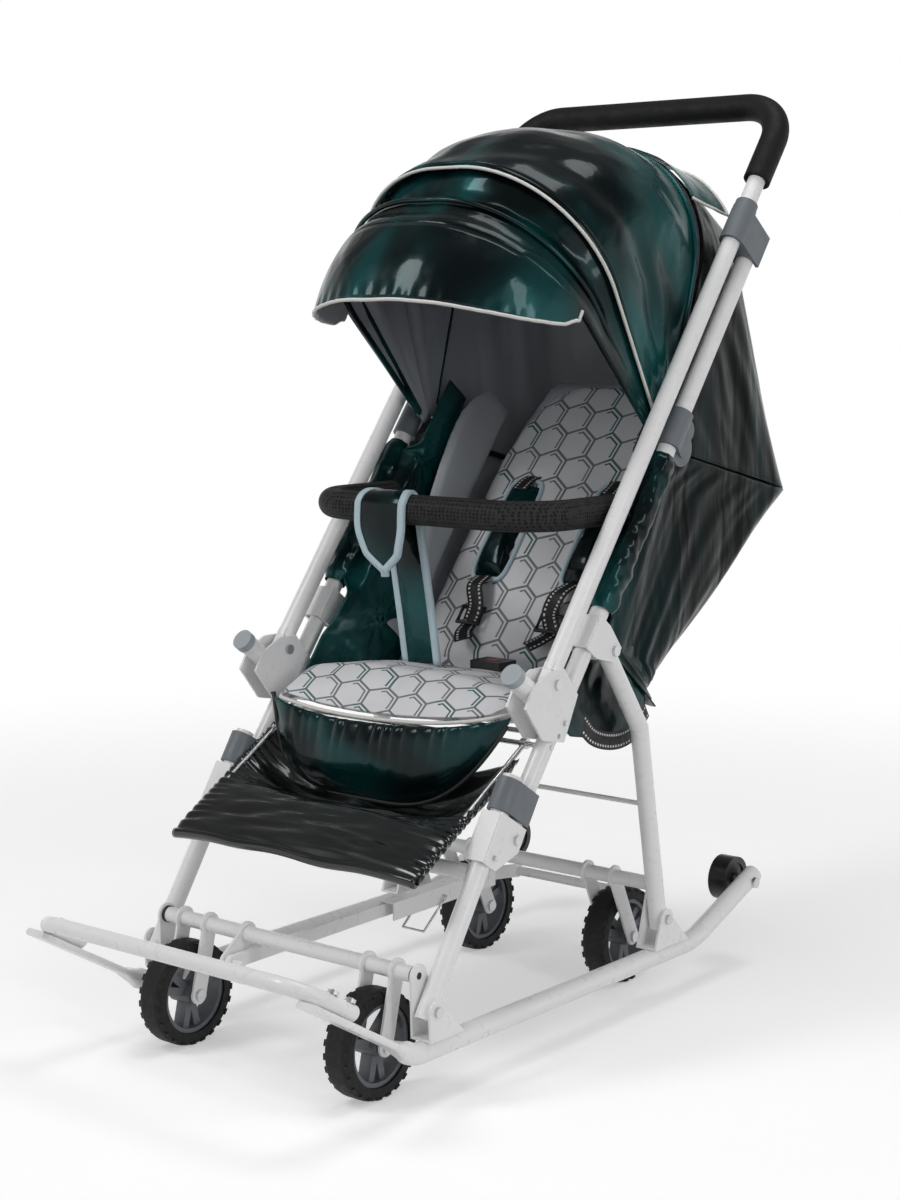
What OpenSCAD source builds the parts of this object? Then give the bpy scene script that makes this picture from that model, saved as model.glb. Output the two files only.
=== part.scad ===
// Sled stroller: a sled base with swing-up wheels, a folding tube frame, a reclining seat and a hood.
// Frame: +Z up, the child looks along -Y, millimetres, ground at zero.
// Side views are written as [along Y, up Z], with Y counted from the handle pivot.

/* [Frame] */
// Half the distance between the left and right tube centre lines
frame_half_w = 205; // [200:1:220]
// Diameter of the frame tubes
tube_d = 22; // [20:0.5:23]
// Wall of the frame tubes
tube_wall = 1.5; // [1:0.1:2.5]
// Slope of the side and handle tubes
side_angle = 53; // [52:0.25:54]
// Height of the handle pivot
pivot_z = 430; // [426:1:436]
// Distance from the handle tube back to the side tube
tube_gap = 39; // [38:0.5:42]
// Distance from the grip bar down to the top ends of the side tubes
side_drop = 185; // [175:1:200]
// Knee hinge, measured down the side tube
knee_t = 175; // [173:1:178]
// Stamped plate thickness
plate_t = 3; // [2:0.25:3.5]

/* [Handle] */
// Length of the handle from its pivot to the grip bar
handle_len = 840; // [800:5:900]
// Bend radius of the handle corners
handle_bend = 60; // [45:1:80]
// Diameter of the foam grip
grip_d = 34; // [30:1:40]
// How far the foam reaches down each handle leg
grip_drop = 62; // [50:1:90]

/* [Legs] */
// Slope of the lower legs
leg_angle = 57; // [56.5:0.25:58]
// Length of the lower legs above the foot hinge
leg_len = 272; // [268:1:278]
// Leg crossbar position along the leg
leg_bar_s = 156; // [140:1:160]
// Diameter of the small tubes
small_tube_d = 18; // [14:0.5:19]
// Diameter of the thin rods
rod_d = 6; // [4:0.5:7]

/* [Sled base] */
// Diameter of the runner tubes
runner_d = 24; // [22:0.5:25]
// Height of the runner centre line
runner_z = 62; // [60:0.5:64]
// Front end of the level part of the runner
runner_front = -235; // [-250:1:-230]
// Rear end of the level part of the runner
runner_rear = 310; // [300:1:330]
// Thickness of the flattened runner fronts
strip_t = 8; // [6:0.5:10]
// Width of the flattened runner fronts
strip_w = 28; // [25:0.5:32]
// Flat on the underside of the runner
sole_depth = 1.5; // [1:0.25:3]

/* [Wheels] */
// Radius of the wheels
wheel_r = 61; // [55:0.5:62]
// Width of the wheels
wheel_w = 32; // [24:1:34]
// Half the front track
front_track = 142; // [138:1:150]
// Half the rear track
rear_track = 114; // [105:1:125]
// Rubber thickness
tyre_t = 15; // [10:0.5:18]
// Radius of the tail wheels
tail_r = 29; // [24:0.5:31]
// Width of the tail wheels
tail_w = 24; // [18:1:26]

/* [Hood] */
// Radius of the middle hood panel
hood_r = 380; // [374:1:386]
// Corner radius of the hood sections
hood_corner = 165; // [140:1:170]
// Distance from the tube centre line in to the middle hood panel
hood_clear = 22.5; // [21.5:0.25:23]
// Cloth thickness of the hood
hood_t = 2.5; // [2:0.25:3]

/* [Seat] */
// Distance from the tube centre line in to the seat cushion
seat_clear = 29; // [25:1:40]
// Thickness of the seat cushion
seat_t = 40; // [32:1:42]
// Distance from the tube centre line in to the back pad
back_clear = 40; // [38:1:50]
// Length of the back pad
back_len = 470; // [440:5:490]
// Diameter of the foam bumper
bumper_d = 36; // [30:1:38]
// Distance from the tube centre line in to the footrest
foot_clear = 21; // [18:1:35]

/* [Hidden] */
$fn = 48;

// Fits and small stock
fit = 0.05;
gap = 0.3;
cut = 1;
weld_t = 0.3;
pin_d = 6;
head_d = 12;
head_t = 4;
bolt_d = 8;
bolt_head_d = 14;
tube_r = tube_d / 2;
ear_in = tube_r + gap;
ear_out = ear_in + plate_t;
ear_x0 = frame_half_w - ear_out;

// Widths of the soft parts and lengths that follow the frame
hood_half_w = frame_half_w - hood_clear;
seat_half_w = frame_half_w - seat_clear;
back_half_w = frame_half_w - back_clear;
foot_half_w = frame_half_w - foot_clear;
side_top = handle_len - side_drop;

// Directions and points of the side view
side_dir = [cos(side_angle), sin(side_angle)];
back_dir = [sin(side_angle), -cos(side_angle)];
function handle_at(t) = [0, pivot_z] + t * side_dir;
function side_at(t, w = 0) = handle_at(t) + (tube_gap + w) * back_dir;
leg_foot = [-211, 106];
leg_dir = [cos(leg_angle), sin(leg_angle)];
leg_back = [sin(leg_angle), -cos(leg_angle)];
function leg_at(s, w = 0) = leg_foot + s * leg_dir + w * leg_back;
knee = side_at(-knee_t);
knee_s = (knee - leg_foot) * leg_dir;
knee_w = (knee - leg_foot) * leg_back;
knee_tail = 10;
leg_tail = 12;
hinge_t = 87;
hinge_back = 36;
rear_top = side_at(hinge_t, hinge_back);
rear_bend = [186, 352];
rear_foot = [231, 109];
front_axle_at = [-211, 141];
rear_axle_at = [240, 147];
front_wheel_at = [-230, wheel_r];
rear_wheel_at = [281, wheel_r];
crank = [-32, -25];
axle_d = small_tube_d;
bush_len = 4.2;
axle_half = ear_x0 - bush_len;
bush_wall = 1.5;

// Runner ends
runner_bend = 120;
tip_bend = 45;
tip = [-400, 158];
tail = [455, 118];
tip_angle = atan2(tip[1] - runner_z, runner_front - tip[0]);
tail_angle = atan2(tail[1] - runner_z, tail[0] - runner_rear);
tip_tan = tip_bend * tan(tip_angle / 2);
tail_tan = runner_bend * tan(tail_angle / 2);
tip_dir = [-cos(tip_angle), sin(tip_angle)];
tail_dir = [cos(tail_angle), sin(tail_angle)];
tip_up = [sin(tip_angle), cos(tip_angle)];
level_front = runner_front + tip_tan;
level_rear = runner_rear - tail_tan;
tip_end = [runner_front, runner_z] + tip_tan * tip_dir;
tail_end = [runner_rear, runner_z] + tail_tan * tail_dir;
flatten_len = 30;
runner_top = runner_z + runner_d / 2;
tail_wheel_back = 18;
tail_wheel_at = tail - tail_wheel_back * tail_dir;
tail_in = 28;
tail_track = frame_half_w - tail_in;
sole_z = runner_z - runner_d / 2 + sole_depth;

// Front crossbar lapped on the flattened runner fronts
bar_lift = strip_t / 2 + small_tube_d / 2 + gap / 2;
bar_lead = 8;
bar_bend = 40;
lap_len = 80;
bar_at = tip + bar_lead * tip_dir + bar_lift * tip_up;
lap_screws = [32, 62];

// Overall reach, so that the origin lies under the middle of the length
hood_at = [266, 680];
bow_angle = -13;
bow_r = 330;
rear_panel_angle = 72.5;
hood_gap = 1;
rear_half_w = hood_half_w + hood_t + hood_gap;
function polar(r, a) = hood_at + r * [cos(a), sin(a)];
front_reach = bar_at[0] - small_tube_d / 2;
rear_reach = polar(bow_r, bow_angle)[0];
mid_y = (front_reach + rear_reach) / 2;

module placed() translate([0, -mid_y, 0]) children();
module pair() {
    children();
    mirror([1, 0, 0]) children();
}
// A profile in the side view, extruded across the width
module yz(x0, t) translate([x0, 0, 0]) rotate([90, 0, 90]) linear_extrude(height = t) children();
module x_rod(p, d, x0, x1) translate([x0, p[0], p[1]]) rotate([0, 90, 0]) cylinder(d = d, h = x1 - x0);
module rod(p, q, d, x, turn = 0)
    translate([x, p[0], p[1]]) rotate([atan2(q[1] - p[1], q[0] - p[0]) - 90, 0, 0]) rotate(turn)
        cylinder(d = d, h = norm(q - p));
// A cross section (x across, y to the rear) extruded along a slope
module along(p, a, x, h)
    translate([x, p[0], p[1]]) rotate([a - 90, 0, 0]) linear_extrude(height = h) children();
module bar2(p, q, w) {
    translate(p) circle(d = w);
    translate(q) circle(d = w);
    translate(p) rotate(atan2(q[1] - p[1], q[0] - p[0])) translate([0, weld_t - w / 2])
        square([norm(q - p), w - 2 * weld_t]);
}
module spot(p, d) translate(p) circle(d = d);
// A weld bead round a tube joint
module bead(p, x, d) translate([x, p[0], p[1]]) sphere(d = d + 2 * weld_t);
// A tube bend in the side view plane
module bend(c, r, a0, a1, d)
    translate([0, c[0], c[1]]) rotate([90, 0, 90]) rotate([0, 0, a0])
        rotate_extrude(angle = a1 - a0) translate([r, 0]) circle(d = d);
// A screw across the width with a head at each end
module x_screw(p, d, x0, x1, hd, ht) {
    x_rod(p, d, x0 - ht, x1 + ht);
    x_rod(p, hd, x0 - ht, x0);
    x_rod(p, hd, x1, x1 + ht);
}
// A U of tube lying in its own plane: legs along -y, the bar along x
module u_tube(half, len, r, d) {
    for (s = [0, 1]) mirror([s, 0, 0]) {
        translate([half, -len, 0]) rotate([-90, 0, 0]) cylinder(d = d, h = len - r);
        translate([half - r, -r, 0]) rotate_extrude(angle = 90) translate([r, 0]) circle(d = d);
    }
    translate([r - half, 0, 0]) rotate([0, 90, 0]) cylinder(d = d, h = 2 * (half - r));
}
// A closed soft solid between an upper and a lower surface
module between(f, g, cells) {
    nu = cells[0];
    nv = cells[1];
    row = nu + 1;
    half = row * (nv + 1);
    last = nv * row;
    pts = [for (k = [0, 1]) for (j = [0:nv]) for (i = [0:nu])
        k == 0 ? f(i / nu, j / nv) : g(i / nu, j / nv)];
    top = [for (j = [0:nv - 1]) for (i = [0:nu - 1]) let (a = j * row + i)
        each [[a, a + row, a + row + 1], [a, a + row + 1, a + 1]]];
    low = [for (j = [0:nv - 1]) for (i = [0:nu - 1]) let (a = half + j * row + i)
        each [[a, a + row + 1, a + row], [a, a + 1, a + row + 1]]];
    near = [for (i = [0:nu - 1]) each [[i, i + 1, half + i + 1], [i, half + i + 1, half + i]]];
    far = [for (i = [0:nu - 1]) let (a = last + i)
        each [[a + 1, a, half + a], [a + 1, half + a, half + a + 1]]];
    left = [for (j = [0:nv - 1]) let (a = j * row)
        each [[a + row, a, half + a], [a + row, half + a, half + a + row]]];
    right = [for (j = [0:nv - 1]) let (a = j * row + nu)
        each [[a, a + row, half + a + row], [a, half + a + row, half + a]]];
    polyhedron(points = pts, faces = concat(top, low, near, far, left, right), convexity = 6);
}
function lerp(a, b, k) = a + (b - a) * k;
function soft(k) = 1 - pow(abs(2 * k - 1), 3);
function ease(span, k) = let (s = min(1, max(0, (k - span[0]) / (span[1] - span[0])))) s * s * (3 - 2 * s);

// Runners
module runner() {
    difference() {
        union() {
            rod([level_front, runner_z], [level_rear, runner_z], runner_d, frame_half_w, 90);
            translate([frame_half_w, 0, 0])
                bend([level_rear, runner_z + runner_bend], runner_bend, -90, tail_angle - 90, runner_d);
            rod(tail_end, tail, runner_d, frame_half_w, 90);
            translate([frame_half_w, level_front, 0]) mirror([0, 1, 0])
                bend([0, runner_z + tip_bend], tip_bend, -90, tip_angle - 90, runner_d);
            flat_front();
            for (p = [[level_front, runner_z], [level_rear, runner_z], tip_end, tail_end])
                bead(p, frame_half_w, runner_d);
        }
        translate([0, level_front - runner_d, sole_z - runner_d])
            cube([2 * frame_half_w, level_rear - level_front + 2 * runner_d, runner_d]);
        x_rod(tail_wheel_at, bolt_d + 2 * fit, frame_half_w - runner_d, frame_half_w + runner_d);
        lap_holes(strip_t);
        for (y = saddle_screws)
            translate([frame_half_w, y, runner_z]) cylinder(d = pin_d + 2 * fit, h = runner_d);
    }
}
module stadium(w, t, h) {
    translate([-(w - t) / 2, 0, 0]) cylinder(d = t, h = h);
    translate([(w - t) / 2, 0, 0]) cylinder(d = t, h = h);
    translate([-(w - t) / 2, -t / 2, 0]) cube([w - t, t, h]);
}
strip_len = norm(tip - [runner_front, runner_z]) - tip_tan;
module flat_front() {
    translate([frame_half_w, tip_end[0], tip_end[1]]) rotate([90 - tip_angle, 0, 0]) {
        hull() {
            translate([0, 0, -cut]) cylinder(d = runner_d - cut, h = cut);
            translate([0, 0, flatten_len]) stadium(strip_w, strip_t, cut);
        }
        translate([0, 0, flatten_len]) stadium(strip_w, strip_t, strip_len - flatten_len);
    }
}
module lap_frame() translate([0, bar_at[0], bar_at[1]]) rotate([-tip_angle, 0, 0]) children();
module lap_holes(depth)
    lap_frame() for (s = lap_screws)
        translate([frame_half_w, s + bar_lead, -bar_lift - depth])
            cylinder(d = pin_d + 2 * fit, h = 2 * depth);
saddle_t = 3;
saddle_z = runner_top + gap;
saddle_screws = [-182, 262];
module runner_right() placed() color("white") runner();
module runner_left() placed() color("white") mirror([1, 0, 0]) runner();

module front_crossbar()
    placed() color("white") difference() {
        lap_frame() rotate([180, 0, 0]) u_tube(frame_half_w, lap_len, bar_bend, small_tube_d);
        pair() lap_frame() for (s = lap_screws)
            translate([frame_half_w, s + bar_lead, -small_tube_d])
                cylinder(d = pin_d + 2 * fit, h = 2 * small_tube_d);
    }

// Runner brackets: an outer ear, a taller inner ear and a saddle
module bracket(foot, axle, y0, y1) {
    yz(frame_half_w + ear_in, plate_t) difference() {
        union() {
            spot(foot, bracket_w);
            polygon([[y0, saddle_z], [y1, saddle_z], foot + [bracket_w / 2, 0], foot - [bracket_w / 2, 0]]);
        }
        spot(foot, pin_d + 2 * fit);
    }
    yz(ear_x0, plate_t) difference() {
        union() {
            spot(axle, bracket_w);
            polygon([[y0, saddle_z], [y1, saddle_z], axle + [bracket_w / 2, 0], axle - [bracket_w / 2, 0]]);
        }
        spot(foot, pin_d + 2 * fit);
        spot(axle, bolt_d + 2 * fit);
    }
    difference() {
        translate([ear_x0, y0, saddle_z]) cube([2 * ear_out, y1 - y0, saddle_t]);
        for (y = saddle_screws)
            translate([frame_half_w, y, runner_z]) cylinder(d = pin_d + 2 * fit, h = runner_d);
    }
}
bracket_w = 26;
front_span = [-222, -166];
rear_span = [206, 278];
module front_brackets()
    placed() color("white") pair() bracket(leg_foot, front_axle_at, front_span[0], front_span[1]);
module rear_brackets()
    placed() color("white") pair() bracket(rear_foot, rear_axle_at, rear_span[0], rear_span[1]);
module bush(p) {
    x_rod(p, bolt_d, ear_x0, ear_x0 + plate_t);
    x_rod(p, axle_d + bush_wall, axle_half + gap, ear_x0);
    x_rod(p, axle_d - 2 * tube_wall - 2 * fit, axle_half - axle_d, axle_half + gap);
}
module axle_bushes()
    placed() color("dimgray") pair() {
        bush(front_axle_at);
        bush(rear_axle_at);
    }
module base_screws()
    placed() color("silver") pair() {
        for (s = [-1, 1]) screw_head(leg_foot, s);
        x_rod(leg_foot, pin_d, frame_half_w - ear_in - plate_t, frame_half_w + ear_out);
        for (s = [-1, 1]) foot_stub(s);
        for (y = saddle_screws) translate([frame_half_w, y, 0]) {
            translate([0, 0, runner_z + gap]) cylinder(d = pin_d, h = saddle_z + saddle_t - runner_z);
            translate([0, 0, saddle_z + saddle_t]) cylinder(d = head_d, h = head_t);
        }
        tail_bolt();
        lap_frame() for (s = lap_screws) translate([frame_half_w, s + bar_lead, 0]) {
            translate([0, 0, -bar_lift - strip_t / 2]) cylinder(d = pin_d, h = bar_lift + small_tube_d);
            translate([0, 0, small_tube_d / 2]) cylinder(d = head_d, h = head_t);
        }
    }
module screw_head(p, s)
    if (s > 0) x_rod(p, head_d, frame_half_w + ear_out, frame_half_w + ear_out + head_t);
// The rear legs rest between short studs that stop short of the tube
module foot_stub(s)
    if (s > 0) {
        x_rod(rear_foot, pin_d, frame_half_w + ear_in, frame_half_w + ear_out);
        x_rod(rear_foot, head_d, frame_half_w + ear_out, frame_half_w + ear_out + head_t);
    } else x_rod(rear_foot, pin_d, ear_x0, ear_x0 + plate_t);
module tail_bolt() {
    inner = tail_track - tail_w / 2;
    outer = frame_half_w + runner_d / 2;
    x_rod(tail_wheel_at, bolt_d, inner - head_t, outer + gap);
    x_rod(tail_wheel_at, bolt_head_d, outer + gap, outer + head_t);
    x_rod(tail_wheel_at, bolt_head_d, inner - head_t, inner - gap);
}
module tail_wheel() {
    groove = 2;
    translate([tail_track - tail_w / 2, tail_wheel_at[0], tail_wheel_at[1]]) rotate([0, 90, 0])
        difference() {
            cylinder(r = tail_r, h = tail_w);
            translate([0, 0, -cut]) cylinder(d = bolt_d + 2 * fit, h = tail_w + 2 * cut);
            translate([0, 0, tail_w - groove]) difference() {
                cylinder(r = tail_r * tail_dish_share, h = groove + cut);
                cylinder(d = bolt_head_d + groove, h = groove + cut);
            }
            difference() {
                translate([0, 0, -cut]) cylinder(r = tail_r * tail_dish_share, h = groove + cut);
                translate([0, 0, -cut]) cylinder(d = bolt_head_d + groove, h = groove + cut);
            }
        }
}
tail_dish_share = 0.72;
module tail_wheel_right() placed() color("gray") tail_wheel();
module tail_wheel_left() placed() color("gray") mirror([1, 0, 0]) tail_wheel();

// Axles, forks and wheels
plate_gap = 3;
fork_w = 22;
link_x = -60;
module axle(p)
    difference() {
        x_rod(p, axle_d, -axle_half, axle_half);
        x_rod(p, axle_d - 2 * tube_wall, -axle_half - cut, axle_half + cut);
    }
module rear_axle() placed() color("white") axle(rear_axle_at);
module front_axle() placed() color("white") axle(front_axle_at);
module fork(axle, wheel, x0)
    yz(x0, plate_t) difference() {
        union() {
            bar2(axle, wheel, fork_w);
            spot(axle, fork_w + 2 * plate_t);
        }
        spot(axle, axle_d + 2 * fit);
        spot(wheel, bolt_d + 2 * fit);
    }
fork_in = wheel_w / 2 + plate_gap;
module forks(axle, wheel, track)
    pair() {
        fork(axle, wheel, track - fork_in - plate_t);
        fork(axle, wheel, track + fork_in);
    }
module front_forks()
    placed() color("white") {
        forks(front_axle_at, front_wheel_at, front_track);
        yz(link_x - plate_t, plate_t) difference() {
            union() {
                bar2(front_axle_at, front_axle_at + crank, fork_w);
                spot(front_axle_at, fork_w + 2 * plate_t);
            }
            spot(front_axle_at, axle_d + 2 * fit);
        }
        x_rod(front_axle_at + crank, bolt_d, link_x - plate_t, link_x + channel_w);
    }
module rear_forks() placed() color("white") forks(rear_axle_at, rear_wheel_at, rear_track);
pedal_at = [300, 110];
pedal_d = 12;
pedal_len = 150;
module pedal()
    placed() color("white") {
        yz(link_x - plate_t, plate_t) difference() {
            union() {
                bar2(rear_axle_at, rear_axle_at + crank, fork_w);
                bar2(rear_axle_at + crank, pedal_at, fork_w * pedal_arm_share);
                spot(rear_axle_at, fork_w + 2 * plate_t);
            }
            spot(rear_axle_at, axle_d + 2 * fit);
        }
        x_rod(rear_axle_at + crank, bolt_d, link_x - plate_t, link_x + channel_w);
        x_rod(pedal_at, pedal_d, link_x - plate_t, link_x + pedal_len);
    }
pedal_arm_share = 0.8;
module wheel_pins(wheel, track)
    pair()
        x_screw(wheel, bolt_d, track - fork_in - plate_t, track + fork_in + plate_t, bolt_head_d, head_t);
module front_wheel_pins() placed() color("silver") wheel_pins(front_wheel_at, front_track);
module rear_wheel_pins() placed() color("silver") wheel_pins(rear_wheel_at, rear_track);

rim_r = wheel_r - tyre_t;
rim_t = 5;
hub_r = 13;
spoke_count = 3;
spoke_w = 9;
crown_r = 7;
module tyre(x, p)
    translate([x, p[0], p[1]]) rotate([0, 90, 0]) rotate_extrude() {
        translate([rim_r + gap, crown_r - wheel_w / 2]) square([tyre_t - gap, wheel_w - 2 * crown_r]);
        translate([rim_r + gap, -wheel_w / 2]) square([tyre_t - crown_r - gap, wheel_w]);
        for (s = [-1, 1]) translate([wheel_r - crown_r, s * (wheel_w / 2 - crown_r)]) circle(r = crown_r);
    }
module rim(x, p)
    translate([x, p[0], p[1]]) rotate([0, 90, 0]) difference() {
        union() {
            difference() {
                translate([0, 0, -wheel_w / 2 + plate_gap])
                    cylinder(r = rim_r, h = wheel_w - 2 * plate_gap);
                translate([0, 0, -wheel_w / 2]) cylinder(r = rim_r - rim_t, h = wheel_w);
            }
            translate([0, 0, -wheel_w / 2]) cylinder(r = hub_r, h = wheel_w);
            for (k = [0:spoke_count - 1]) rotate(k * 360 / spoke_count) for (s = [-1, 1])
                rotate(s * 360 / spoke_count * spoke_fan_share)
                    translate([hub_r - plate_t, -spoke_w / 2, -wheel_w * spoke_deep_share])
                        cube([rim_r - hub_r, spoke_w, 2 * wheel_w * spoke_deep_share]);
        }
        translate([0, 0, -wheel_w]) cylinder(d = bolt_d + 2 * fit, h = 2 * wheel_w);
    }
spoke_fan_share = 0.11;
spoke_deep_share = 0.25;
module tyre_fl() placed() color("black") tyre(-front_track, front_wheel_at);
module tyre_fr() placed() color("black") tyre(front_track, front_wheel_at);
module tyre_rl() placed() color("black") tyre(-rear_track, rear_wheel_at);
module tyre_rr() placed() color("black") tyre(rear_track, rear_wheel_at);
module rim_fl() placed() color("gray") rim(-front_track, front_wheel_at);
module rim_fr() placed() color("gray") rim(front_track, front_wheel_at);
module rim_rl() placed() color("gray") rim(-rear_track, rear_wheel_at);
module rim_rr() placed() color("gray") rim(rear_track, rear_wheel_at);

// The link between the axles: a channel at the rear, a flat bar at the front
channel_w = 24;
channel_h = 22;
channel_t = 2;
link_bar_t = 6;
link_bar_h = 16;
channel_front = 18;
link_front = front_axle_at + crank;
link_rear = rear_axle_at + crank;
link_slope = atan2(link_rear[1] - link_front[1], link_rear[0] - link_front[0]);
link_dir = [cos(link_slope), sin(link_slope)];
link_len = norm(link_rear - link_front);
channel_len = link_rear[0] - channel_front;
overlap_len = 46;
loose = 0.4;
function link_at(s) = link_rear - s * link_dir;
module link_channel()
    placed() color("white") difference() {
        translate([link_x + gap, link_rear[0], link_rear[1]]) rotate([link_slope, 0, 0])
            translate([0, -channel_len, -channel_h / 2]) difference() {
                cube([channel_w - 2 * gap, channel_len + channel_h / 2, channel_h]);
                translate([channel_t, -cut, -cut])
                    cube([channel_w - 2 * channel_t - 2 * gap, channel_len + channel_h + cut,
                        channel_h - channel_t + cut]);
            }
        x_rod(link_rear, bolt_d + 2 * fit, link_x - cut, link_x + channel_w + cut);
        x_rod(bail_at, wire_d + 2 * fit, link_x - cut, link_x + channel_w + cut);
    }
bar_x = link_x + gap + channel_t + gap;
module link_bar()
    placed() color("white") difference() {
        yz(bar_x, link_bar_t) bar2(link_front, link_at(channel_len - overlap_len), link_bar_h);
        x_rod(link_front, bolt_d + 2 * loose, link_x - cut, link_x + channel_w + cut);
    }
wire_d = 3;
bail_s = 96;
bail_at = link_at(bail_s);
bail_drop = [-44, -36];
bail_side = 5;
module lock_bail()
    placed() color("silver") {
        x_rod(bail_at, wire_d, link_x - bail_side, link_x + channel_w + bail_side);
        for (x = [link_x - bail_side, link_x + channel_w + bail_side]) {
            translate([x, bail_at[0], bail_at[1]]) sphere(d = wire_d);
            rod(bail_at, bail_at + bail_drop, wire_d, x);
            translate([x, bail_at[0] + bail_drop[0], bail_at[1] + bail_drop[1]]) sphere(d = wire_d);
        }
        x_rod(bail_at + bail_drop, wire_d, link_x - bail_side, link_x + channel_w + bail_side);
    }

// Lower legs with their crossbar, brackets and sleeves
module lower_legs()
    placed() color("white") difference() {
        union() {
            pair() difference() {
                rod(leg_at(-leg_tail), leg_at(leg_len), tube_d, frame_half_w);
                rod(leg_at(-leg_tail - cut), leg_at(leg_len + cut), tube_d - 2 * tube_wall, frame_half_w);
            }
            x_rod(leg_at(leg_bar_s), small_tube_d, -frame_half_w + tube_r - tube_wall,
                frame_half_w - tube_r + tube_wall);
        }
        pair() x_rod(leg_foot, pin_d + 2 * fit, frame_half_w - tube_d, frame_half_w + tube_d);
    }
// The bent front of a stamped bracket that wraps a tube
web_mid = tube_r + gap + plate_t / 2;
module web()
    translate([-ear_in - plate_t / 2, -tube_r - gap - plate_t]) square([2 * ear_in + plate_t, plate_t]);
knee_low_s = 166;
knee_high_s = 226;
knee_reach = 11;
module knee_brackets()
    placed() color("white") pair() {
        for (x = [frame_half_w - ear_out, frame_half_w + ear_in]) yz(x, plate_t) difference() {
            polygon([leg_at(knee_low_s, -web_mid), leg_at(knee_low_s, tube_r),
                leg_at(knee_s - knee_reach, knee_w + knee_reach), leg_at(knee_high_s, knee_w + knee_reach),
                leg_at(knee_high_s, -web_mid)]);
            spot(knee, pin_d + 2 * fit);
            spot(leg_at(knee_low_s + tube_r), pin_d + 2 * fit);
        }
        along(leg_at(knee_low_s + cut), leg_angle, frame_half_w, knee_high_s - knee_low_s - 2 * cut) web();
    }
module knee_screws()
    placed() color("silver") pair() {
        x_screw(knee, pin_d, frame_half_w - ear_out, frame_half_w + ear_out, head_d, head_t);
        for (x = [[-ear_out - head_t, -ear_in], [ear_in, ear_out + head_t]])
            x_rod(leg_at(knee_low_s + tube_r), pin_d, frame_half_w + x[0], frame_half_w + x[1]);
    }
sleeve_low_s = 229;
sleeve_len = 38;
sleeve_wall = 4;
sleeve_r = tube_r + gap + sleeve_wall;
module saddle_block(w, reach) {
    circle(r = sleeve_r);
    translate([-sleeve_r, 0]) square([2 * sleeve_r, w + reach]);
}
module saddle_slot(w, reach, web) {
    translate([0, web + tube_r + gap]) circle(r = tube_r + gap);
    translate([-tube_r - gap, web + tube_r + gap]) square([2 * (tube_r + gap), w + reach]);
}
sleeve_web_t = 2.2;
sleeve_web = tube_r + gap + sleeve_web_t;
module knee_sleeves()
    placed() color("gray") pair()
        along(leg_at(sleeve_low_s), leg_angle, frame_half_w, sleeve_len) difference() {
            saddle_block(knee_w, tube_r);
            circle(d = tube_d + 2 * gap);
            saddle_slot(knee_w, tube_r, sleeve_web);
        }

// Side tubes and what is fixed to them
rod_t = [-45, -60];
stub_t = -25;
module side_tubes()
    placed() color("white") pair() difference() {
        rod(side_at(-knee_t - knee_tail), side_at(side_top), tube_d, frame_half_w);
        rod(side_at(-knee_t - knee_tail - cut), side_at(side_top + cut), tube_d - 2 * tube_wall,
            frame_half_w);
        x_rod(knee, pin_d + 2 * fit, frame_half_w - tube_d, frame_half_w + tube_d);
        for (t = rod_t) x_rod(side_at(t), rod_d + 2 * fit, frame_half_w - tube_d, frame_half_w + tube_d);
    }
stub_d = 24;
stub_len = 82;
cap_len = 10;
stub_from = side_at(stub_t, -tube_r - gap);
stub_to = stub_from - stub_len * back_dir;
bracket_shape = [[-14, 16], [14, 16], [40, -17], [14, -68], [-26, -60], [-58, -20], [-44, 2]];
module seat_brackets()
    placed() color("white") pair() {
        for (x = [frame_half_w - ear_out, frame_half_w + ear_in]) yz(x, plate_t) difference() {
            polygon([for (p = bracket_shape) p + [0, pivot_z]]);
            spot([0, pivot_z], pin_d + 2 * fit);
            for (t = bracket_bolts) spot(side_at(t), pin_d + 2 * fit);
            spot(side_at(rod_t[0]), rod_d + 2 * fit);
        }
        difference() {
            rod(stub_from, stub_to, stub_d, frame_half_w);
            rod(stub_from + cut * back_dir, stub_to - cut * back_dir, stub_d - 2 * plate_t, frame_half_w);
        }
    }
bracket_bolts = [-28];
module tube_caps()
    placed() color("gray") pair() {
        rod(stub_to - gap * back_dir, stub_to - (cap_len + gap) * back_dir, stub_d + 2 * cut, frame_half_w);
        rod(stub_to + cap_len * back_dir, stub_to - cap_len * back_dir, stub_d - 2 * plate_t - 2 * gap,
            frame_half_w);
    }
hinge_low_t = 62;
hinge_high_t = 106;
hinge_reach = 10;
module rear_hinge_brackets()
    placed() color("white") pair() {
        for (x = [frame_half_w - ear_out, frame_half_w + ear_in]) yz(x, plate_t) difference() {
            polygon([side_at(hinge_low_t, -web_mid), side_at(hinge_low_t, tube_r),
                side_at(hinge_t - hinge_reach, hinge_back + hinge_reach),
                side_at(hinge_t + hinge_reach, hinge_back + hinge_reach),
                side_at(hinge_high_t, tube_r), side_at(hinge_high_t, -web_mid)]);
            spot(rear_top, pin_d + 2 * fit);
        }
        along(side_at(hinge_low_t + cut), side_angle, frame_half_w, hinge_high_t - hinge_low_t - 2 * cut)
            web();
    }
clamp_low_t = 345;
clamp_len = 50;
clamp_r = 15;
disc_d = 44;
disc_t = 6;
hood_pin_d = 12;
hood_pin_len = 38;
hood_pin_in = frame_half_w - hood_pin_len;
clamp_lobe = [14, 21];
lobe_d = 26;
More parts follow.
